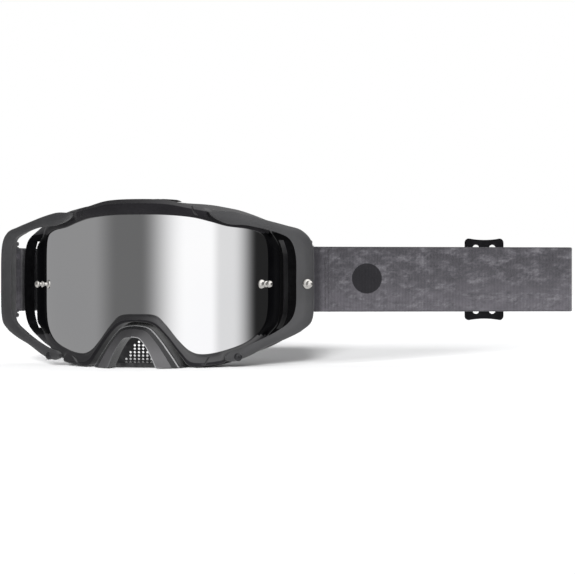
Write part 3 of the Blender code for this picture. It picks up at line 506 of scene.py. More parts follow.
def path_through(rows, steps):
    rows = [np.array(row, float) for row in rows]
    path = []
    for i in range(len(rows) - 1):
        before, after = rows[max(i - 1, 0)], rows[min(i + 2, len(rows) - 1)]
        path += [catmull(before, rows[i], rows[i + 1], after, k / steps) for k in range(steps)]
    path.append(rows[-1])
    return np.array(path)


def outward(loop, dist):
    """Offset a closed loop outwards by one distance or one per point."""
    following, previous = np.roll(loop, -1, axis=0), np.roll(loop, 1, axis=0)
    tangent = following - previous
    tangent /= np.linalg.norm(tangent, axis=1)[:, None]
    area = 0.5 * np.sum(loop[:, 0] * following[:, 1] - following[:, 0] * loop[:, 1])
    normal = np.stack([tangent[:, 1], -tangent[:, 0]], axis=1) * (1.0 if area > 0 else -1.0)
    return loop + normal * np.reshape(dist, (-1, 1))


def smoothed(values, passes):
    """Even out values round a closed loop."""
    for _ in range(passes):
        values = (np.roll(values, 1) + values * 2 + np.roll(values, -1)) / 4
    return values


def heights_at(outline, x):
    """Lowest and highest z where a closed (x, z) outline crosses x."""
    heights = []
    for (xa, za), (xb, zb) in zip(outline, [*outline[1:], outline[0]]):
        if (xa - x) * (xb - x) <= 0 and xa != xb:
            heights.append(za + (zb - za) * (x - xa) / (xb - xa))
    return min(heights), max(heights)


def ease(value, start, end):
    t = min(max((value - start) / (end - start), 0.0), 1.0)
    return t * t * (3 - 2 * t)


def rounded_block(low, high, radius):
    """A box used as a Boolean tool."""
    (x0, y0, z0), (x1, y1, z1) = low, high
    block = loft("block", [[(x0, y0, z), (x1, y0, z), (x1, y1, z), (x0, y1, z)] for z in (z0, z1)],
                 smooth=35.0)
    mod = block.modifiers.new("edges", 'BEVEL')
    mod.width, mod.segments = radius * MM, 3
    return settle(block)


def turned(name, profile, base, axis, mats=(), steps=48):
    """A solid of revolution; the profile is (radius, height along the axis)."""
    axis, base = Vector(axis).normalized(), Vector(base)
    side = axis.cross(Vector((0, 0, 1)))
    side = side.normalized() if side.length > 1e-6 else Vector((1, 0, 0))
    other = axis.cross(side)
    angles = [2 * math.pi * k / steps for k in range(steps)]
    sections = [[tuple(base + axis * height + (side * math.cos(a) + other * math.sin(a)) * radius)
                 for a in angles] for radius, height in profile]
    return loft(name, sections, mats, smooth=30.0)


def register(piece, node, body="root"):
    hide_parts(node)
    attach(piece, body)


# ========================================================== the goggle's shape
LENS_R, LENS_FRONT, LENS_T = 84.0, 2.0, 1.5
LIP, BROW_CREST, SIDE_CREST = 1.8, 6.0, 2.6     # rise of the shell off the lens face
WALL_RISE = -2.2                                # where the outer wall leaves the lens curve
FLANGE_Y0, FLANGE_SWEEP, FLANGE_T = 22.0, 30.5, 3.2
TEMPLE_X, TEMPLE_SLOPE = 80.0, 0.15


def on_lens(arc, z, rise):
    """A point by its arc length round the lens, its height and its rise off the face."""
    angle = arc / LENS_R
    radius = LENS_R + rise
    return np.array((radius * math.sin(angle), LENS_FRONT + LENS_R - radius * math.cos(angle), z))


def off_lens(point):
    """The rise of a drawing point off the lens face."""
    return math.hypot(point[0], point[1] - LENS_FRONT - LENS_R) - LENS_R


def flange_y(x):
    reach = abs(x)
    return (FLANGE_Y0 + FLANGE_SWEEP * (min(reach, TEMPLE_X) / TEMPLE_X) ** 2
            + TEMPLE_SLOPE * max(reach - TEMPLE_X, 0.0))


# Right half, from brow to nose: lens opening (arc, z), outer edge (arc, z), flange (x, z)
PROFILE = (
    (0.0, 41.3, 0.0, 50.5, 0.0, 48.8),
    (16.0, 41.1, 17.5, 49.8, 18.0, 49.0),
    (32.0, 39.7, 31.0, 46.7, 36.0, 48.2),
    (43.0, 37.3, 42.0, 44.9, 47.0, 46.5),
    (54.0, 34.6, 55.0, 43.0, 57.0, 44.1),
    (69.0, 33.0, 72.0, 39.6, 71.0, 38.4),
    (79.5, 29.5, 84.0, 34.5, 81.5, 33.0),
    (83.5, 21.0, 89.2, 24.0, 88.6, 24.0),
    (83.8, 0.0, 90.2, 0.0, 90.0, 0.0),
    (83.4, -15.5, 89.4, -17.5, 89.0, -19.0),
    (79.8, -25.5, 85.6, -29.0, 84.2, -29.5),
    (68.5, -34.2, 73.0, -39.5, 73.0, -37.5),
    (52.0, -39.8, 54.0, -46.3, 57.0, -43.8),
    (39.0, -41.9, 41.5, -48.6, 44.0, -46.3),
    (31.0, -39.8, 31.0, -48.9, 33.0, -46.6),
    (24.0, -33.2, 25.6, -43.0, 25.5, -40.5),
    (16.6, -24.0, 17.2, -31.6, 17.0, -29.5),
    (10.5, -18.7, 9.6, -24.3, 9.5, -22.8),
    (0.0, -17.9, 0.0, -22.6, 0.0, -21.0),
)
PROFILE_STEPS = 9
PROFILE_LOOP = loop_through(PROFILE, PROFILE_STEPS)
OPENING, OUTER, FLANGE = PROFILE_LOOP[:, 0:2], PROFILE_LOOP[:, 2:4], PROFILE_LOOP[:, 4:6]


# ----------------------------------------------------------------- frame shell
FLANGE_WIDTH, NOSE_FLANGE_WIDTH = 10.0, 7.0
# Side slits: (z, how far the slit bends towards the middle)
SLIT = ((-27.5, 2.8), (-22.0, 1.0), (-14.0, 0.0), (14.0, 0.0), (21.0, 0.6), (27.0, 2.0))
SLIT_PLAN = ((77.6, 43.0), (79.9, 43.0), (85.0, 57.0), (82.7, 57.0))    # (x, y)
BROW_SLOTS, CHEEK_SLOTS, SLOT_EDGE = (-16.2, -5.4, 5.4, 16.2), (38.0, 50.0), 1.4
# Grooves across the brow and the cheeks, inboard of each arm: (arc, z)
GROOVES = (
    ((-31.6, 46.9), (-33.2, 44.9), (-35.0, 42.6), (-36.2, 40.9)),
    ((31.9, 47.2), (31.9, 44.6), (33.0, 42.2), (35.0, 40.6)),
    ((-44.3, -42.5), (-41.3, -44.3), (-38.6, -46.4), (-37.0, -48.6)),
    ((43.6, -42.3), (41.2, -43.9), (39.6, -46.2), (38.4, -49.4)),
)
GROOVE_HALF, GROOVE_TOP, GROOVE_FLOOR = 0.55, BROW_CREST + 2.0, BROW_CREST - 2.1


def crest(arc, z):
    """Rise of the crest: high along brow and cheeks, low at the sides."""
    sideways = ease(abs(arc), 39.0, 43.5) if z > 0 else ease(abs(arc), 49.0, 52.5)
    sideways *= ease(abs(z), 22.0, 30.0)
    return BROW_CREST + (SIDE_CREST - BROW_CREST) * sideways


def frame_section(opening, outer, flange, flange_in, seat, room):
    """From the lip over the crest, back to the flange and forward to the lens seat."""
    top = crest(*(0.5 * (opening + outer)))
    rising = opening + (outer - opening) * 0.30
    ridge = opening + (outer - opening) * 0.72
    wall = WALL_RISE + 2.8 * ease(abs(outer[0]), 60.0, 80.0)
    back = flange_y(flange[0])
    behind = -LENS_T - 0.35
    return fillet((
        (on_lens(*opening, 0.35), 0.15),
        (on_lens(*opening, LIP), 0.60),
        (on_lens(*rising, 0.55 * top + 0.45 * LIP + 0.4), 1.0),
        (on_lens(*ridge, top), 0.75),
        (on_lens(*outer, top - 1.3), 0.7),
        (on_lens(*outer, wall), 0.6),
        ((flange[0], back - FLANGE_T, flange[1]), 0.9),
        ((flange[0], back, flange[1]), 0.7),
        ((flange_in[0], flange_y(flange_in[0]), flange_in[1]), 0.7),
        (on_lens(*seat, -4.2), 1.0),
        (on_lens(*seat, behind), 0.2),
        (on_lens(*room, behind), 0.15),
        (on_lens(*room, 0.35), 0.15),
    ))


def groove(line):
    points = path_through(line, 5)
    sections = []
    for k, point in enumerate(points):
        run = points[min(k + 1, len(points) - 1)] - points[max(k - 1, 0)]
        run = run / np.linalg.norm(run)
        across = np.array([run[1], -run[0]]) * GROOVE_HALF
        sections.append([on_lens(*(point - across), GROOVE_TOP),
                         on_lens(*(point + across), GROOVE_TOP),
                         on_lens(*(point + across * 0.8), GROOVE_FLOOR),
                         on_lens(*(point - across * 0.8), GROOVE_FLOOR)])
    return loft("groove", sections)


def frame_openings():
    tools = [loft("slit", [[(side * (x - bend), y, z) for x, y in SLIT_PLAN]
                           for z, bend in path_through(SLIT, 4)]) for side, _ in SIDES]
    for x in BROW_SLOTS:
        tools.append(rounded_block((x - 4.2, 11.6, 32.0), (x + 4.2, 15.0, 58.0), SLOT_EDGE))
    for side, _ in SIDES:
        for x in CHEEK_SLOTS:
            y = flange_y(x) - 11.5
            tools.append(rounded_block((side * x - 4.4, y, -58.0),
                                       (side * x + 4.4, y + 5.5, -34.0), SLOT_EDGE))
    return tools + [groove(line) for line in GROOVES]


def frame_shell():
    room, seat = outward(OPENING, 2.6), outward(OPENING, 0.7)
    width = np.array([NOSE_FLANGE_WIDTH if abs(x) < 30 and -47 < z < -18 else FLANGE_WIDTH
                      for x, z in FLANGE])
    flange_in = outward(FLANGE, -smoothed(width, 6 * (PROFILE_STEPS // 3) ** 2))
    sections = [frame_section(*rails)
                for rails in zip(OPENING, OUTER, FLANGE, flange_in, seat, room)]
    shell = loft("frame_shell", sections, [M_FRAME, M_RECESS_SHADE], closed=True)
    # a near-black, smoother plastic on the lens seat, its lip, the hidden walls and the temples:
    # painted shade in these recesses
    for face in shell.data.polygons:
        centre = to_drawing(face.center)
        arc = math.atan2(centre[0], LENS_FRONT + LENS_R - centre[1]) * LENS_R
        corner = face.index % len(sections[0]) // CORNER_POINTS
        gloss = (corner >= 9 or (corner <= 2 and off_lens(centre) < 0.95)
                 or (abs(arc) > 74.0 and abs(centre[2]) < 31.0))
        face.material_index = 1 if gloss else 0
    cut(shell, frame_openings())
    set_smooth(shell, 32.0)
    register(shell, "frame")


frame_shell()


# ------------------------------------------------------------------------ lens
def lens_sheet():
    outline = outward(OPENING, 2.1)
    reach = float(np.max(outline[:, 0])) - 0.02
    columns = np.concatenate([np.linspace(-reach, -reach + 6, 14)[:-1],
                              np.linspace(-reach + 6, reach - 6, 150),
                              np.linspace(reach - 6, reach, 14)[1:]])
    sections = []
    for arc in columns:
        low, high = heights_at(outline, arc)
        rows = np.linspace(low + 0.25, high - 0.25, 10)
        front = [(z, 0.0) for z in rows]
        top = [(high - 0.07, -0.07), (high, -0.25), (high, -LENS_T + 0.25)]
        back = [(z, -LENS_T) for z in rows[::-1]]
        bottom = [(low, -LENS_T + 0.25), (low, -0.25), (low + 0.07, -0.07)]
        sections.append([on_lens(arc, z, rise) for z, rise in front + top + back + bottom])
    lens = loft("lens_shield", sections, [M_LENS, M_EDGE], smooth=12.0)
    for face in lens.data.polygons:
        face.material_index = 0 if off_lens(to_drawing(face.center)) > -0.05 else 1
    register(lens, "lens")


lens_sheet()

# ----------------------------------------------------------------------- posts
POST_ANGLE = math.radians(53.5)
# (radius, height)
POST = (
    (1.1, -1.2), (1.1, -0.1), (2.55, 0.0), (2.7, 0.12), (2.7, 0.75), (2.55, 0.95), (2.3, 1.2),
    (1.6, 1.42), (1.3, 1.55), (1.22, 2.2), (1.22, 3.3), (1.5, 3.62), (1.85, 3.85), (1.95, 4.1),
    (1.95, 4.5), (1.8, 4.78), (1.4, 4.98), (1.22, 5.2), (1.22, 6.2), (1.6, 6.55), (1.98, 6.8),
    (2.1, 7.1), (2.1, 7.7), (1.95, 8.15), (1.6, 8.55), (1.2, 8.85), (0.8, 9.02), (0.3, 9.1),
)
TAB_POST = (
    (2.75, 0.0), (2.9, 0.12), (2.9, 0.6), (2.7, 0.8), (2.3, 1.1), (1.5, 1.25), (1.25, 1.45),
    (1.25, 2.5), (1.6, 2.75), (1.95, 2.92), (2.1, 3.15), (2.1, 3.65), (1.9, 4.05), (1.6, 4.35),
    (1.1, 4.6), (0.4, 4.7),
)
TAB_POST_FOOT = Vector((96.6, 32.5, 0.0))
TAB_POST_AXIS = Vector((6.6, -9.4, 0.0)).normalized()

for side, label in SIDES:
    post = turned("post_turned_" + label, POST, on_lens(side * (POST_ANGLE * LENS_R), 0.0, 0.35),
                  (side * math.sin(POST_ANGLE), -math.cos(POST_ANGLE), 0.0), [M_POST])
    register(post, "lens_post_" + label)
tab_post = turned("pull_tab_post_turned", TAB_POST, TAB_POST_FOOT + TAB_POST_AXIS * 0.35,
                  TAB_POST_AXIS, [M_POST])
register(tab_post, "pull_tab_post")

# ------------------------------------------------------------------ outriggers
# Stations from brow to cheek. Columns are four (x, y, z) edges: inner front,
# outer front, outer back, inner back, where inner is nearer z = 0.
ARM = (
    (43.6, 5.4, 41.0, 42.6, 5.0, 42.6, 42.6, 9.3, 42.6, 43.4, 9.5, 41.0),
    (47.5, 6.4, 38.0, 46.0, 6.0, 43.2, 46.0, 11.2, 43.0, 47.2, 11.6, 38.2),
    (54.0, 9.0, 35.4, 54.0, 9.0, 43.4, 54.0, 14.8, 43.1, 54.0, 14.4, 36.4),
    (63.0, 12.6, 34.9, 64.0, 13.8, 41.4, 63.5, 20.0, 40.8, 62.5, 18.6, 36.0),
    (72.0, 16.2, 33.1, 75.0, 18.8, 38.2, 74.2, 26.0, 37.6, 71.4, 22.8, 34.2),
    (80.0, 21.0, 30.9, 85.0, 25.2, 35.4, 84.0, 33.5, 34.6, 79.4, 28.5, 31.8),
    (87.2, 26.2, 26.8, 94.0, 31.3, 32.2, 93.0, 41.0, 31.0, 88.4, 36.0, 27.6),
    (90.2, 29.2, 17.5, 99.2, 35.4, 23.4, 97.8, 46.2, 22.4, 93.2, 46.0, 19.6),
    (90.5, 29.6, 1.0, 100.0, 36.0, 1.0, 98.0, 47.4, 1.0, 93.8, 47.4, 1.0),
    (90.2, 29.2, -14.0, 99.2, 35.4, -20.6, 97.8, 46.2, -19.8, 93.2, 46.0, -16.8),
    (87.2, 26.2, -22.4, 94.2, 31.5, -27.8, 93.2, 41.0, -26.8, 88.4, 36.0, -23.4),
    (80.0, 21.0, -28.4, 85.5, 25.5, -32.9, 84.4, 33.5, -32.2, 79.4, 28.5, -29.4),
    (72.0, 16.2, -32.8, 75.0, 18.8, -37.4, 74.2, 26.0, -36.8, 71.4, 22.8, -33.8),
    (64.5, 12.6, -36.4, 66.0, 14.4, -42.6, 65.4, 20.6, -42.0, 63.8, 18.6, -37.6),
    (58.4, 10.6, -39.2, 58.6, 10.6, -45.6, 58.6, 16.6, -45.0, 58.4, 16.6, -39.8),
    (54.0, 9.0, -40.4, 54.0, 9.0, -46.2, 54.0, 14.7, -45.8, 54.0, 14.7, -40.8),
    (51.6, 8.2, -42.2, 51.6, 8.2, -45.0, 51.6, 13.6, -44.8, 51.6, 13.6, -42.4),
)
ARM_FRONT_BULGE = np.array([0.45, -0.9, 0.0])
ARM_SIDE_BULGE = np.array([0.3, 0.0, 0.0])
END_TAPER = ((0.05, 0.95), (0.12, 0.86))        # (reach beyond the end, scale)
LUGS_X = (93.9, 96.25)
NECK_R = 0.62
# (radius, z)
BAR = ((NECK_R, STRAP_Z0 - 3.2), (NECK_R, STRAP_Z0 - 0.9), (BAR_R, STRAP_Z0 - 0.5),
       (BAR_R, STRAP_Z1 + 0.5), (NECK_R, STRAP_Z1 + 0.9), (NECK_R, STRAP_Z1 + 3.2))


def end_sections(last, before):
    """Shrunken copies that round an end off, in order away from it."""
    centre = np.mean(last, axis=0)
    ahead = centre - np.mean(before, axis=0)
    ahead = ahead / np.linalg.norm(ahead)
    return [[centre + (point - centre) * scale + ahead * reach for point in last]
            for reach, scale in END_TAPER]


def outrigger(label, side):
    sections = []
    for row in path_through(ARM, 8):
        front_in, front_out, back_out, back_in = row.reshape(4, 3)
        corners = (
            (front_in, 0.55),
            (0.5 * (front_in + front_out) + ARM_FRONT_BULGE, 1.6),
            (front_out, 1.3),
            (front_out + (back_out - front_out) * 0.5 + ARM_SIDE_BULGE, 1.5),
            (back_out, 0.7),
            (0.5 * (back_out + back_in), 0.6),
            (back_in, 0.6),
        )
        sections.append(fillet([((side * x, y, z), setback) for (x, y, z), setback in corners]))
    sections = (end_sections(sections[0], sections[1])[::-1] + sections
                + end_sections(sections[-1], sections[-2]))
    arm = loft("outrigger_shell_" + label, sections, [M_OUTRIGGER])
    x0, x1 = sorted(side * x for x in LUGS_X)
    lugs = [rounded_block((x0, 40.5, z0), (x1, 53.3, z1), 1.0)
            for z0, z1 in ((STRAP_Z1 + 1.2, STRAP_Z1 + 4.0), (STRAP_Z0 - 4.0, STRAP_Z0 - 1.2))]
    cut(arm, lugs, 'UNION')
    cut(arm, [turned("bar", BAR, (side * BAR_X, BAR_Y, 0.0), (0.0, 0.0, 1.0))], 'UNION')
    set_smooth(arm, 34.0)
    register(arm, "outrigger_" + label)


# (radius, height)
PIN = ((1.5, -2.6), (1.5, 5.0), (2.3, 5.0), (2.5, 5.15), (2.5, 6.5), (2.4, 6.85), (2.1, 7.2),
       (1.6, 7.42), (0.9, 7.5), (0.85, 7.1), (0.1, 7.05))

for side, label in SIDES:
    outrigger(label, side)
for side, label in SIDES:
    pin = turned("pin_turned_" + label, PIN, (side * 55.4, 15.6, -43.5),
                 (side * 0.60, -0.80, 0.0), [M_GUARD], steps=40)
    register(pin, "outrigger_pin_" + label)

# ------------------------------------------------------------------ nose guard
# Right half of the guard's outer and inner edges, from the bridge down: (x, z)
GUARD_OUT = ((0.0, -24.4), (8.4, -26.0), (14.8, -32.4), (21.6, -42.0), (26.4, -49.4))
GUARD_IN = ((0.0, -31.4), (4.6, -32.2), (8.2, -36.4), (11.6, -42.4), (14.6, -49.4))
GUARD_BACK = 13.0


def guard_section(outer, inner):
    def bowed(point, y):
        return (point[0], y + 0.0035 * point[0] * point[0], point[1])

    middle = 0.72 * outer + 0.28 * inner
    rear = outer + (outer - inner) / np.linalg.norm(outer - inner) * (
        2.5 + 0.1 * ease(abs(outer[0]), 12.0, 20.0))
    return fillet((
        (bowed(outer, -4.6), 0.80),
        (bowed(middle, -7.4), 0.35),
        (bowed(inner, -13.2), 0.70),
        ((inner[0], GUARD_BACK, inner[1]), 0.5),
        ((rear[0], GUARD_BACK, rear[1]), 0.5),
        (bowed(outer, -2.0), 0.3),
    ))


def nose_guard():
    right = list(zip(path_through(GUARD_OUT, 10), path_through(GUARD_IN, 10)))
    flip = np.array((-1.0, 1.0))
    left = [(outer * flip, inner * flip) for outer, inner in right[:0:-1]]
    sections = [guard_section(outer, inner) for outer, inner in left + right]
    guard = loft("nose_guard_shell", sections, [M_GUARD, M_FACET_LIT, M_RIDGE_HIGHLIGHT], smooth=30.0)
    around, step = len(sections[0]), CORNER_POINTS
    for face in guard.data.polygons[:around * (len(sections) - 1)]:
        k = face.index % around
        if k < step - 1 or (2 * step <= k < 3 * step - 1 and face.center[0] > 0.0):
            face.material_index = 2             # pale ridges: painted highlight, the inner ridge on the right limb only
        elif 2 * step - 1 <= k < 3 * step - 1:
            face.material_index = 1             # grey facet: painted light
    register(guard, "nose_guard")


nose_guard()

# ----------------------------------------------------------------- vent screen
HOLE_ROWS, HOLE_TOP, HOLE_DROP, HOLE_PITCH = 7, -34.6, 2.05, 2.6
HOLE_RX, HOLE_RZ = 0.84, 0.68


def vent_holes():
    tools = []
    circle = [math.pi * k / 6 for k in range(12)]
    for row in range(HOLE_ROWS):
        z = HOLE_TOP - HOLE_DROP * row
        reach = 2.2 + 0.55 * (-z - 32.4)        # the screen widens downwards
        count = int((reach - 0.9) / HOLE_PITCH)
        for k in range(-count, count + 1):
            x = HOLE_PITCH * k
            tools.append(loft("hole", [[(x + HOLE_RX * math.cos(a), y, z + HOLE_RZ * math.sin(a))
                                        for a in circle] for y in (1.0, 7.0)]))
    return tools


def vent_screen():
    edge = [(x + 0.3 * (1 if x > 0.5 else 0), z + 0.35) for x, z in path_through(GUARD_IN, 6)]
    edge[-1] = (edge[-1][0], -48.8)
    outline = [(-x, z) for x, z in edge[:0:-1]] + edge
    plate = loft("vent_screen_plate", [[(x, y, z) for x, z in outline] for y in (3.2, 4.3)],
                 [M_SCREEN], smooth=35.0)
    cut(plate, vent_holes())
    cut(plate, [rounded_block((-13.6, 2.4, -49.8), (13.6, 12.0, -47.2), 0.35)], 'UNION')
    set_smooth(plate, 35.0)
    register(plate, "nose_vent_screen")


vent_screen()

# ---------------------------------------------------------------- face padding
# Right half of the padding's outer edge, from brow to nose: (x, z)
PAD = (
    (0.0, 47.2), (18.0, 47.1), (36.0, 45.9), (47.0, 44.2), (57.0, 41.4), (69.0, 36.6),
    (76.6, 31.0), (80.2, 23.0), (80.8, 0.0), (80.4, -18.0), (77.0, -28.5), (70.5, -36.3),
    (57.0, -42.8), (44.0, -45.3), (33.0, -45.4), (25.2, -38.6), (16.6, -28.6),
    (9.0, -21.6), (0.0, -20.0),
)
PAD_LOOP = loop_through(PAD, 8)
PAD_START, LAYER_GAP = 0.9, 0.35                # behind the flange; between layers
BASE_T, CUSHION_T, FLEECE_T = 3.6, 7.6, 2.8


def pad_ring(name, start, thick, inset, width, mat, corner, shrink=0.0, crown=0.0):
    """One layer of padding; start is its distance behind the flange."""
    loop = outward(PAD_LOOP, -inset - shrink)
    widths = np.array([width * (0.72 if abs(x) < 30 and -44 < z < -18 else 1.0) for x, z in loop])
    inner_loop = outward(loop, -(smoothed(widths, 64) - 2 * shrink))
    end = start + thick - shrink
    sections = []
    for outer, inner in zip(loop, inner_loop):
        middle = 0.5 * (outer + inner)
        corners = []
        for (x, z), y, setback in ((outer, start, 0.25), (outer, end, corner),
                                   (middle, end + crown, 1.5), (inner, end, corner),
                                   (inner, start, 0.25), (middle, start, 0.3)):
            spread = 1.0 + (0.0032 * y) * ease(abs(x), 40.0, 80.0)
            corners.append(((x * spread, flange_y(x) + y, z), setback))
        sections.append(fillet(corners))
    return loft(name, sections, [mat], closed=True, smooth=50.0)


def swell(pad, voxel, cap, frames=20):
    """Blow the remeshed pad up with cloth, held where it is bonded. cap: the
    furthest any point may move, mm."""
    mod = pad.modifiers.new("remesh", 'REMESH')
    mod.mode, mod.voxel_size = 'VOXEL', voxel * MM
    settle(pad)
    mats = list(pad.data.materials)
    before = np.array([vert.co for vert in pad.data.vertices])
    drawn = before / MM - SHIFT
    behind = drawn[:, 1] - np.array([flange_y(x) for x in drawn[:, 0]])
    bonded = np.flatnonzero(behind < behind.min() + 1.3)
    pad.vertex_groups.new(name="bond").add(bonded.tolist(), 1.0, 'ADD')
    cloth = pad.modifiers.new("cloth", 'CLOTH')
    settings = cloth.settings
    settings.quality = 5
    settings.mass = 0.03
    settings.use_pressure = True
    settings.uniform_pressure_force = 14.0
    settings.tension_stiffness = settings.compression_stiffness = 12.0
    settings.shear_stiffness, settings.bending_stiffness = 5.0, 0.6
    settings.vertex_group_mass = "bond"
    settings.effector_weights.gravity = 0.0
    cloth.collision_settings.use_collision = False
    cloth.point_cache.frame_start, cloth.point_cache.frame_end = 1, frames
    for frame in range(1, frames + 1):
        scene.frame_set(frame)
    moved = evaluated_mesh(pad)
    shift = np.array([vert.co for vert in moved.vertices]) - before
    bpy.data.meshes.remove(moved)
    pad.modifiers.clear()
    scene.frame_set(1)
    length = np.linalg.norm(shift, axis=1)
    limit = np.minimum(1.0, cap * MM / np.maximum(length, 1e-9))
    after = before + shift * limit[:, None]
    pad.data.vertices.foreach_set("co", after.astype(np.float32).ravel())
    pad.data.update()
    mod = pad.modifiers.new("soft", 'SUBSURF')
    mod.levels = mod.render_levels = 1
    settle(pad)
    # give the new mesh one clean material slot
    pad.data.materials.clear()
    for mat in mats:
        pad.data.materials.append(mat)
    pad.data.shade_smooth()


base = pad_ring("foam_base_ring", PAD_START, BASE_T, inset=0.0, width=9.6, mat=M_FOAM_DENSE,
                corner=0.4)
register(base, "face_foam_base")
cushion = pad_ring("foam_mid_cushion", PAD_START + LAYER_GAP + BASE_T, CUSHION_T, inset=0.5,
                   width=10.4, mat=M_FOAM_SOFT, corner=1.6, shrink=0.5,
                   crown=0.35)
swell(cushion, voxel=2.0, cap=1.0)
register(cushion, "face_foam_mid")
liner = pad_ring("foam_fleece_liner", PAD_START + 2 * LAYER_GAP + (BASE_T + CUSHION_T), FLEECE_T,
                 inset=0.2, width=11.4, mat=M_FLEECE, corner=1.1, shrink=0.25,
                 crown=0.35)
swell(liner, voxel=1.35, cap=0.6)
register(liner, "face_foam_fleece")


# ------------------------------------------------------------------- vent foam
def wall_z(x, y, lower):
    """Height of the shell's outer wall at a place in plan."""
    ring = []
    for outer, flange in zip(OUTER, FLANGE):
        front = on_lens(*outer, WALL_RISE)
        t = (y - front[1]) / (flange_y(flange[0]) - FLANGE_T - front[1])
        ring.append((front[0] + (flange[0] - front[0]) * t,
                     outer[1] + (flange[1] - outer[1]) * t))
    return heights_at(ring, x)[0 if lower else 1]


def edge_fade(t, reach, least):
    return min(1.0, math.sqrt(min(t, 1 - t) / reach + least))


def vent_sheet(name, node, x0, x1, y_from, y_to, lower, thick):
    """A strip of foam laid on the shell wall, thinned at its edges."""
    outwards = -1.0 if lower else 1.0
    sections = []
    columns, rows = 44, 10
    rng = np.random.default_rng(7)
    for i in range(columns + 1):
        along = i / columns
        x = x0 + (x1 - x0) * along
        y_start, y_end = y_from(x), y_to(x)
        near, far = [], []
        for k in range(rows + 1):
            across = k / rows
            y = y_start + (y_end - y_start) * across
            z = wall_z(x, y, lower) + outwards * 0.45
            thin = min(edge_fade(along, 0.035, 0.06), edge_fade(across, 0.12, 0.08))
            height = thick * thin * (1.0 + 0.03 * rng.standard_normal())
            near.append((x, y, z))
            far.append((x, y, z + outwards * height))
        sections.append(near + far[::-1])
    register(loft(name, sections, [M_VENT], smooth=60.0), node)


def cheek_front(x):
    arc = math.asin(abs(x) / (LENS_R + WALL_RISE)) * LENS_R
    return on_lens(arc, 0.0, WALL_RISE)[1] + 1.6


vent_sheet("vent_foam_top_sheet", "vent_foam_top", -22.5, 22.5, lambda x: 10.8 + x * x / 220.0,
           lambda x: 16.6 + x * x / 300.0, lower=False, thick=1.0)
for side, label in SIDES:
    vent_sheet("vent_foam_bottom_sheet_" + label, "vent_foam_bottom_" + label,
               side * 34.0, side * 52.0, cheek_front,
               lambda x: flange_y(x) - FLANGE_T - 1.2, lower=True, thick=1.1)


# ----------------------------------------------------------------- strap plan
def heading(degrees):
    """Unit direction in plan, turned from +X towards +Y."""
    angle = math.radians(degrees)
    return np.array([math.cos(angle), math.sin(angle)])


# The right layer runs out from the right bar, folds over and comes back as the tail
RIGHT_TURN = 17.7
RIGHT_DIR, RIGHT_NORMAL = heading(RIGHT_TURN), heading(RIGHT_TURN + 90)
RIGHT_LINK, RIGHT_LAST_LINK, FOLD_R, TAIL = 42.0, 77.0, 3.2, 90.0
RIGHT_BAR = np.array([BAR_X, BAR_Y])
RIGHT_BEND_1 = RIGHT_BAR + RIGHT_DIR * RIGHT_LINK
RIGHT_BEND_2 = RIGHT_BAR + RIGHT_DIR * (2 * RIGHT_LINK)
RIGHT_END = RIGHT_BAR + RIGHT_DIR * (2 * RIGHT_LINK + RIGHT_LAST_LINK)
FOLD = RIGHT_END + RIGHT_NORMAL * FOLD_R
# The left layer runs back from the left bar, turns at the temple and crosses behind
LEFT_BAR, LEFT_BEND_1 = np.array([-BAR_X, BAR_Y]), np.array([-88.5, 73.0])
TEMPLE_DIR = (LEFT_BEND_1 - LEFT_BAR) / np.linalg.norm(LEFT_BEND_1 - LEFT_BAR)
TEMPLE_NORMAL = np.array([-TEMPLE_DIR[1], TEMPLE_DIR[0]])
LEFT_DIR, LEFT_LINK = heading(3.3466), 85.986
LEFT_BEND_2 = LEFT_BEND_1 + LEFT_DIR * LEFT_LINK
LEFT_BEND_3 = LEFT_BEND_1 + LEFT_DIR * LEFT_LINK * 2
LEFT_END = LEFT_BEND_1 + LEFT_DIR * LEFT_LINK * 3

# Distances across the webbing at which it has a row of points
ROWS = (0.0, 0.12, 0.42, 0.95, 1.7, 2.5, 5.0, 8.5, 12.0, 16.0, 20.0, 24.0, 28.0, 31.5, 35.0, 37.5,
        38.3, 39.05, 39.58, 39.88, 40.0)
WEB_STEP, RIB_RELIEF, EDGE_R = 0.46, 0.035, 0.95
EYE_R, TURNED_BACK_GAP = 2.80, 1.72


def resample(points, step):
    """Even steps along a plan polyline; returns points and arc lengths."""
    points = np.array(points, float)
    lengths = np.linalg.norm(np.diff(points, axis=0), axis=1)
    at = np.concatenate([[0], np.cumsum(lengths)])
    arcs = np.linspace(0, at[-1], max(2, int(round(at[-1] / step))) + 1)
    return np.stack([np.interp(arcs, at, points[:, i]) for i in (0, 1)], 1), arcs


def bezier(start, control_a, control_b, end):
    steps = 14
    return [(1 - t) ** 3 * start + 3 * (1 - t) ** 2 * t * control_a
            + 3 * (1 - t) * t * t * control_b + t ** 3 * end
            for t in (k / steps for k in range(steps + 1))]


def half_thick(across):
    edge = min(across, STRAP_WIDTH - across)
    if edge < EDGE_R:
        return 0.80 * math.sqrt(max(1 - (1 - edge / EDGE_R) ** 2, 0.0)) + 0.02
    return 0.82 - 0.10 * ease(edge, 1.2, 2.4)       # a corded selvedge


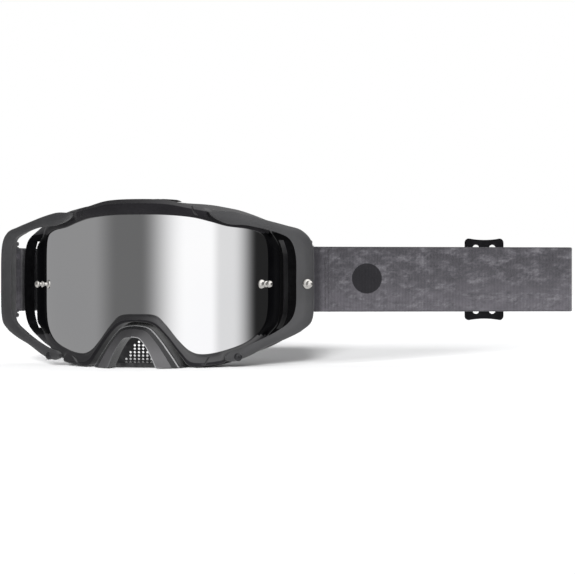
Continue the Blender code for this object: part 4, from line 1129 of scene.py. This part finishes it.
def strip(name, plan, start, outer_sign):
    """Webbing swept along a plan path. start: the first U value. outer_sign +1 puts
    the printed face on the left of the path, -1 on its right. Returns piece and length."""
    points, arcs = resample(plan, WEB_STEP)
    tangent = np.gradient(points, axis=0)
    tangent /= np.linalg.norm(tangent, axis=1)[:, None]
    normal = np.stack([-tangent[:, 1], tangent[:, 0]], 1) * outer_sign
    verts, uvs = [], []
    for i, point in enumerate(points):
        along = start + arcs[i]
        rib = RIB_RELIEF if round(along / WEB_STEP) % 2 else -RIB_RELIEF
        for face in (1, -1):
            for across in ROWS[::face]:
                edge = min(across, STRAP_WIDTH - across)
                height = half_thick(across) + (rib if edge > 0.9 else rib * 0.5)
                verts.append((*(point + normal[i] * height * face), STRAP_Z0 + across))
                uvs.append((along, across))
    around = 2 * len(ROWS)
    mesh = new_mesh(name, to_frame(verts), skin_faces(len(points), around, False),
                    [M_WEB, M_WEB_IN])
    layer = mesh.uv_layers.new(name="strap")
    for poly in mesh.polygons:
        inner = [mesh.loops[i].vertex_index % around >= len(ROWS) for i in poly.loop_indices]
        poly.material_index = 1 if len(inner) > 4 or sum(inner) > 2 else 0
        for i in poly.loop_indices:
            layer.data[i].uv = uvs[mesh.loops[i].vertex_index]
    orient(mesh, weld=False)
    piece = link(name, mesh)
    set_smooth(piece, 60.0)
    return piece, arcs[-1]


def eye_path(bar, run, normal, turn_side, back_length):
    """From the tip of the turned-back end, round the bar, into the run. normal is
    the run's left normal; turn_side picks the side of the turned-back layer."""
    def at(along, out):
        return bar + run * along + normal * (turn_side * out)

    def round_bar(degrees):
        angle = math.radians(degrees)
        return at(EYE_R * math.cos(angle), EYE_R * math.sin(angle))

    path = [at(back_length, TURNED_BACK_GAP)]
    path += bezier(at(6.6, TURNED_BACK_GAP), at(4.2, TURNED_BACK_GAP),
                   at(EYE_R * 0.95, EYE_R * 0.80), round_bar(62))
    path += [round_bar(degrees) for degrees in range(66, 300, 6)]
    path += bezier(round_bar(300), at(EYE_R * 0.95 + 0.6, -EYE_R * 0.70),
                   at(5.4, 0.0), at(8.6, 0.0))[1:]
    return path


def lay_webbing(start, outer_sign, pieces):
    """Lay strips end to end. Each is (name, plan, replaced nodes, two bodies, bend
    start, bend end). Returns the next U value."""
    for name, plan, replaced, bodies, bend_start, bend_end in pieces:
        piece, length = strip(name, plan, start, outer_sign)
        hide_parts(*replaced)
        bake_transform(piece)
        start += length
    return start


def right_strap():
    run, normal = RIGHT_DIR, RIGHT_NORMAL
    joint_1 = RIGHT_BEND_1 + run * 21.0
    joint_2 = RIGHT_BEND_2 + run * 62.0         # beyond the slider's travel
    tail_line = FOLD + normal * FOLD_R
    joint_3 = tail_line - run * 16.0
    fold = [FOLD + FOLD_R * heading(RIGHT_TURN - 90 + 180.0 * k / 24) for k in range(1, 25)]
    eye = eye_path(RIGHT_BAR, run, normal, turn_side=1.0, back_length=12.0)
    start = lay_webbing(-25.0, -1, (
        ("webbing_front_a", eye + [joint_1], ("strap_front_1",),
         ("strap_front_1", "strap_front_2"), RIGHT_BEND_1 - run * 9, RIGHT_BEND_1 + run * 9),
        ("webbing_front_b", [joint_1, joint_2], ("strap_front_2",),
         ("strap_front_2", "strap_front_3"), RIGHT_BEND_2 - run * 9, RIGHT_BEND_2 + run * 9),
        ("webbing_fold", [joint_2, RIGHT_END, *fold, joint_3], ("strap_front_3",),
         ("strap_front_3", "strap_tail"), FOLD - normal * 2.25, FOLD + normal * 2.25),
    ))
    tail, _ = strip("webbing_tail", [joint_3, tail_line - run * TAIL], start, -1)
    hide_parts("strap_tail")
    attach(tail, "strap_tail")


def left_strap():
    run, turn = LEFT_DIR, 8.0
    corner = bezier(LEFT_BEND_1 - TEMPLE_DIR * turn, LEFT_BEND_1 - TEMPLE_DIR * turn * 0.35,
                    LEFT_BEND_1 + run * turn * 0.35, LEFT_BEND_1 + run * turn)
    joint_1 = LEFT_BEND_1 + run * LEFT_LINK * 0.5
    joint_2 = LEFT_BEND_2 + run * LEFT_LINK * 0.5
    eye = eye_path(LEFT_BAR, TEMPLE_DIR, TEMPLE_NORMAL, turn_side=-1.0, back_length=9.5)
    lay_webbing(300.0, 1, (
        ("webbing_rear_a", eye + corner + [joint_1], ("strap_rear_1",),
         ("strap_rear_1", "strap_rear_2"), LEFT_BEND_1 - TEMPLE_DIR * 6, LEFT_BEND_1 + run * 6),
        ("webbing_rear_b", [joint_1, joint_2], ("strap_rear_2",),
         ("strap_rear_2", "strap_rear_3"), LEFT_BEND_2 - run * 9, LEFT_BEND_2 + run * 9),
        ("webbing_rear_c", [joint_2, LEFT_END], ("strap_rear_3", "strap_rear_4"),
         ("strap_rear_3", "strap_rear_4"), LEFT_BEND_3 - run * 9, LEFT_BEND_3 + run * 9),
    ))


right_strap()
left_strap()

# -------------------------------------------------------------------- stitches
STITCH_LENGTH, STITCH_PITCH, THREAD_R = 2.1, 2.75, 0.20
STITCH_RINGS, STITCH_SIDES = 9, 8


def stitch_rows(name, body, bar, run, outward_dir, rows, lift=0.80):
    """Short raised threads in rows across the webbing, at distances from the bar."""
    verts, faces = [], []
    for row in rows:
        z = STRAP_Z0 + 2.4
        while z < STRAP_Z1 - 3.6:
            first = len(verts)
            for k in range(STITCH_RINGS):
                t = k / (STITCH_RINGS - 1)
                height = lift + 0.20 * math.sin(math.pi * t) - 0.10
                lean = 0.18 * (t - 0.5)
                radius = THREAD_R * (0.55 + 0.45 * math.sin(math.pi * min(max(t, 0.06), 0.94)))
                for q in range(STITCH_SIDES):
                    angle = 2 * math.pi * q / STITCH_SIDES
                    x, y = (bar + run * (row + lean + radius * math.cos(angle))
                            + outward_dir * (height + radius * math.sin(angle)))
                    verts.append((x, y, z + STITCH_LENGTH * t))
            faces += [tuple(first + i for i in face)
                      for face in skin_faces(STITCH_RINGS, STITCH_SIDES, False)]
            z += STITCH_PITCH
    stitches = mesh_object(name, to_frame(verts), faces, [M_THREAD], 60.0)
    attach(stitches, body)


stitch_rows("stitch_front_outer", "strap_front_1", RIGHT_BAR, RIGHT_DIR, -RIGHT_NORMAL, (8.9, 11.0))
stitch_rows("stitch_front_inner", "strap_front_1", RIGHT_BAR, RIGHT_DIR, RIGHT_NORMAL, (8.9, 11.0),
            lift=2.52)
stitch_rows("stitch_left_outer", "strap_rear_1", LEFT_BAR, TEMPLE_DIR, TEMPLE_NORMAL, (8.7,))

# ---------------------------------------------------------------------- slider
SLIDER_HALF_W, SLIDER_HALF_H, SLIDER_T = 24.5 / 2, 50.8 / 2, 1.7
SLIDER_CORNER, SLIDER_DIP = 2.6, 0.9
SLIDER_NEAR = STRAP_T / 2 + 0.35                # face next to the webbing
SLIDER_AT = RIGHT_BAR + RIGHT_DIR * 108.7
SLOT_X, SLOT_HALF_W, SLOT_HALF_H, SLOT_CORNER = 5.2, 2.3, 21.5, 2.2


def quarter_arcs(middle, half_w, half_h, radius):
    """The four corners of a rounded rectangle, as lists of (along, z)."""
    corners = []
    for sx, sz, start in ((1, 1, 0), (-1, 1, 90), (-1, -1, 180), (1, -1, 270)):
        angles = [math.radians(start + 11.25 * k) for k in range(9)]
        corners.append([(middle + sx * (half_w - radius) + radius * math.cos(a),
                         sz * (half_h - radius) + radius * math.sin(a)) for a in angles])
    return corners


def slider_section(outline, out):
    middle_z = (STRAP_Z0 + STRAP_Z1) / 2
    return [(*(SLIDER_AT + RIGHT_DIR * along + RIGHT_NORMAL * out), middle_z + z)
            for along, z in outline]


def slider():
    edge = []
    corners = quarter_arcs(0.0, SLIDER_HALF_W, SLIDER_HALF_H, SLIDER_CORNER)
    # the top and bottom edges dip between their corners
    for corner, sign in zip(corners, (1, 0, -1, 0)):
        edge += corner
        if sign:
            edge += [(sign * (SLIDER_HALF_W - SLIDER_CORNER) * (1 - 2 * t),
                      sign * (SLIDER_HALF_H - SLIDER_DIP * math.sin(math.pi * t) ** 0.8))
                     for t in (k / 12 for k in range(1, 12))]
    near, far = SLIDER_NEAR, SLIDER_NEAR + SLIDER_T
    sections = []
    for out, inset in ((near, 0.35), (near + 0.10, 0.12), (near + 0.35, 0.0),
                       (far - 0.35, 0.0), (far - 0.10, 0.12), (far, 0.35)):
        outline = [(along * (1 - inset / SLIDER_HALF_W), z * (1 - inset / SLIDER_HALF_H))
                   for along, z in edge]
        sections.append(slider_section(outline, out))
    body = loft("slider_glide", sections, [M_SLIDER], smooth=40.0)
    tools = []
    for middle in (-SLOT_X, SLOT_X):
        slot = sum(quarter_arcs(middle, SLOT_HALF_W, SLOT_HALF_H, SLOT_CORNER), [])
        tools.append(loft("slot", [slider_section(slot, out) for out in (near - 1.5, far + 1.5)]))
    cut(body, tools)
    set_smooth(body, 40.0)
    register(body, "slider", "slider")


slider()

# ====================================================== floor, light and camera
floor = link("floor", new_mesh("floor", [(-6, -4, 0), (6, -4, 0), (6, 12, 0), (-6, 12, 0)],
                               [(0, 1, 2, 3)], [floor_paint("pale_floor")]))
set_smooth(floor, None)
floor.location.z = -0.0002
floor.visible_glossy = False

# Reflected panels: bearings from and to (degrees, 0 is -Y, positive towards +X) and
# brightness: grey wall, dark gap, main softbox, dimmer fill, black flag
STUDIO = ((-170.0, -60.0, 0.30), (-35.0, -15.0, 0.15), (25.0, 45.0, 1.10), (55.0, 65.0, 0.80),
          (90.0, 130.0, 0.02))
WALL = 0.30


def studio_world():
    """Panels for reflections, an even grey for diffuse light and white for the camera."""
    world = bpy.data.worlds.new("studio")
    scene.world = world
    sky = Graph(world)
    sky.tree.nodes.clear()
    axes = sky.split(sky.coords("Generated"))
    bearing = sky.math('ARCTAN2', axes["X"], sky.times(axes["Y"], -1.0))
    panels = [(-180.0, WALL), *((degrees, level) for start, end, level in STUDIO
                                for degrees in (start, end)), (180.0, WALL)]
    ring = sky.ramp(sky.remap(bearing, span=(-math.pi, math.pi)),
                    [((degrees + 180.0) / 360.0, (level, level, level * 1.01))
                     for degrees, level in panels], interpolation='EASE')
    high = sky.remap(axes["Z"], span=(0.22, 0.50))
    ceiling = sky.remap(axes["X"], span=(-0.30, 0.65), to=(0.26, 1.55))
    low = sky.remap(axes["Z"], span=(-0.12, -0.45))
    reflected = sky.mix(high, ring, ceiling)
    reflected = sky.mix(low, reflected, (0.72, 0.72, 0.72))
    rays = sky.add("LightPath").outputs
    tone = sky.mix(rays["Is Glossy Ray"], (0.62, 0.62, 0.626), reflected)
    tone = sky.mix(rays["Is Camera Ray"], tone, (1.0, 1.0, 1.0))
    background = sky.add("Background", {"Color": tone, "Strength": 1.0})
    sky.add("OutputWorld", {"Surface": background.outputs[0]})


studio_world()


def group(name, objects):
    collection = bpy.data.collections.new(name)
    for item in objects:
        collection.objects.link(item)
    return collection


PIECES = [item for item in scene.objects
          if item.type == 'MESH' and item is not floor and not item.hide_render]
for piece in PIECES:                    # only the foams show in reflections
    piece.visible_glossy = piece.name.startswith(("foam", "vent_foam"))
GOODS = group("goods", PIECES)
GOGGLE = group("goggle", [piece for piece in PIECES
                          if not piece.name.startswith(("webbing", "stitch", "slider"))])
GROUND = group("ground", [floor])


def add_light(name, kind, energy, receivers, **settings):
    data = bpy.data.lights.new(name, kind)
    data.energy = energy
    for prop, value in settings.items():
        setattr(data, prop, value)
    light = link(name, data)
    light.visible_glossy = False
    light.light_linking.receiver_collection = receivers
    return light


def aim(light, direction):
    light.rotation_euler = direction.to_track_quat('-Z', 'Y').to_euler()


def softbox(name, at, target, size, watts):
    """A disk light for the goods alone."""
    light = add_light(name, 'AREA', watts, GOODS, shape='DISK', size=size)
    light.location = at
    light.visible_camera = False
    aim(light, Vector(target) - Vector(at))


def floor_sun(name, toward, elevation, energy, angle):
    """A distant soft light for the floor, shadowed by the goggle but not its strap."""
    light = add_light(name, 'SUN', energy, GROUND, angle=math.radians(angle))
    light.light_linking.blocker_collection = GOGGLE
    tilt = math.radians(elevation)
    level = Vector((toward[0], toward[1], 0.0)).normalized()
    aim(light, level * math.cos(tilt) - Vector((0.0, 0.0, math.sin(tilt))))


softbox("key_front_left", at=(-0.9, -1.1, 0.95), target=(0.0, 0.03, 0.05), size=0.55, watts=5.0)
softbox("low_front_right", at=(1.05, -0.95, 0.03), target=(0.05, 0.03, 0.05), size=0.7, watts=26.0)
softbox("back_fill", at=(-0.45, 1.25, 0.45), target=(0.05, 0.08, 0.05), size=0.8, watts=13.0)
softbox("top_back", at=(0.3, 0.9, 1.2), target=(0.1, 0.05, 0.05), size=0.7, watts=6.0)
floor_sun("floor_low_a", toward=(0.30, 0.955), elevation=13.0, energy=12.5, angle=10.0)
floor_sun("floor_low_b", toward=(-0.15, 0.99), elevation=13.0, energy=22.0, angle=9.0)
floor_sun("floor_high", toward=(-0.1, -1.0), elevation=58.0, energy=0.7, angle=30.0)

# a narrow strip of light on the floor behind the nose, seen through the vent holes
floor_strip = add_light("floor_strip", 'AREA', 0.10, GROUND, shape='RECTANGLE', size=0.05,
                        size_y=0.40)
floor_strip.location = (-0.088, 0.300, 0.020)
floor_strip.rotation_euler = (0.0, 0.0, math.atan2(0.108, 0.365))
floor_strip.visible_camera = False

camera_data = bpy.data.cameras.new("camera")
camera_data.sensor_width, camera_data.lens = 36.0, 105.18
camera_data.clip_start, camera_data.clip_end = 0.01, 60.0
camera = link("camera", camera_data)
camera.location = (0.287036, -0.969288, 0.047700)
camera.rotation_euler = (math.radians(90.0), 0.0, math.radians(11.5))
scene.camera = camera
scene.view_settings.view_transform = 'Standard'
scene.view_settings.look = 'None'
scene.view_settings.exposure = 0.0
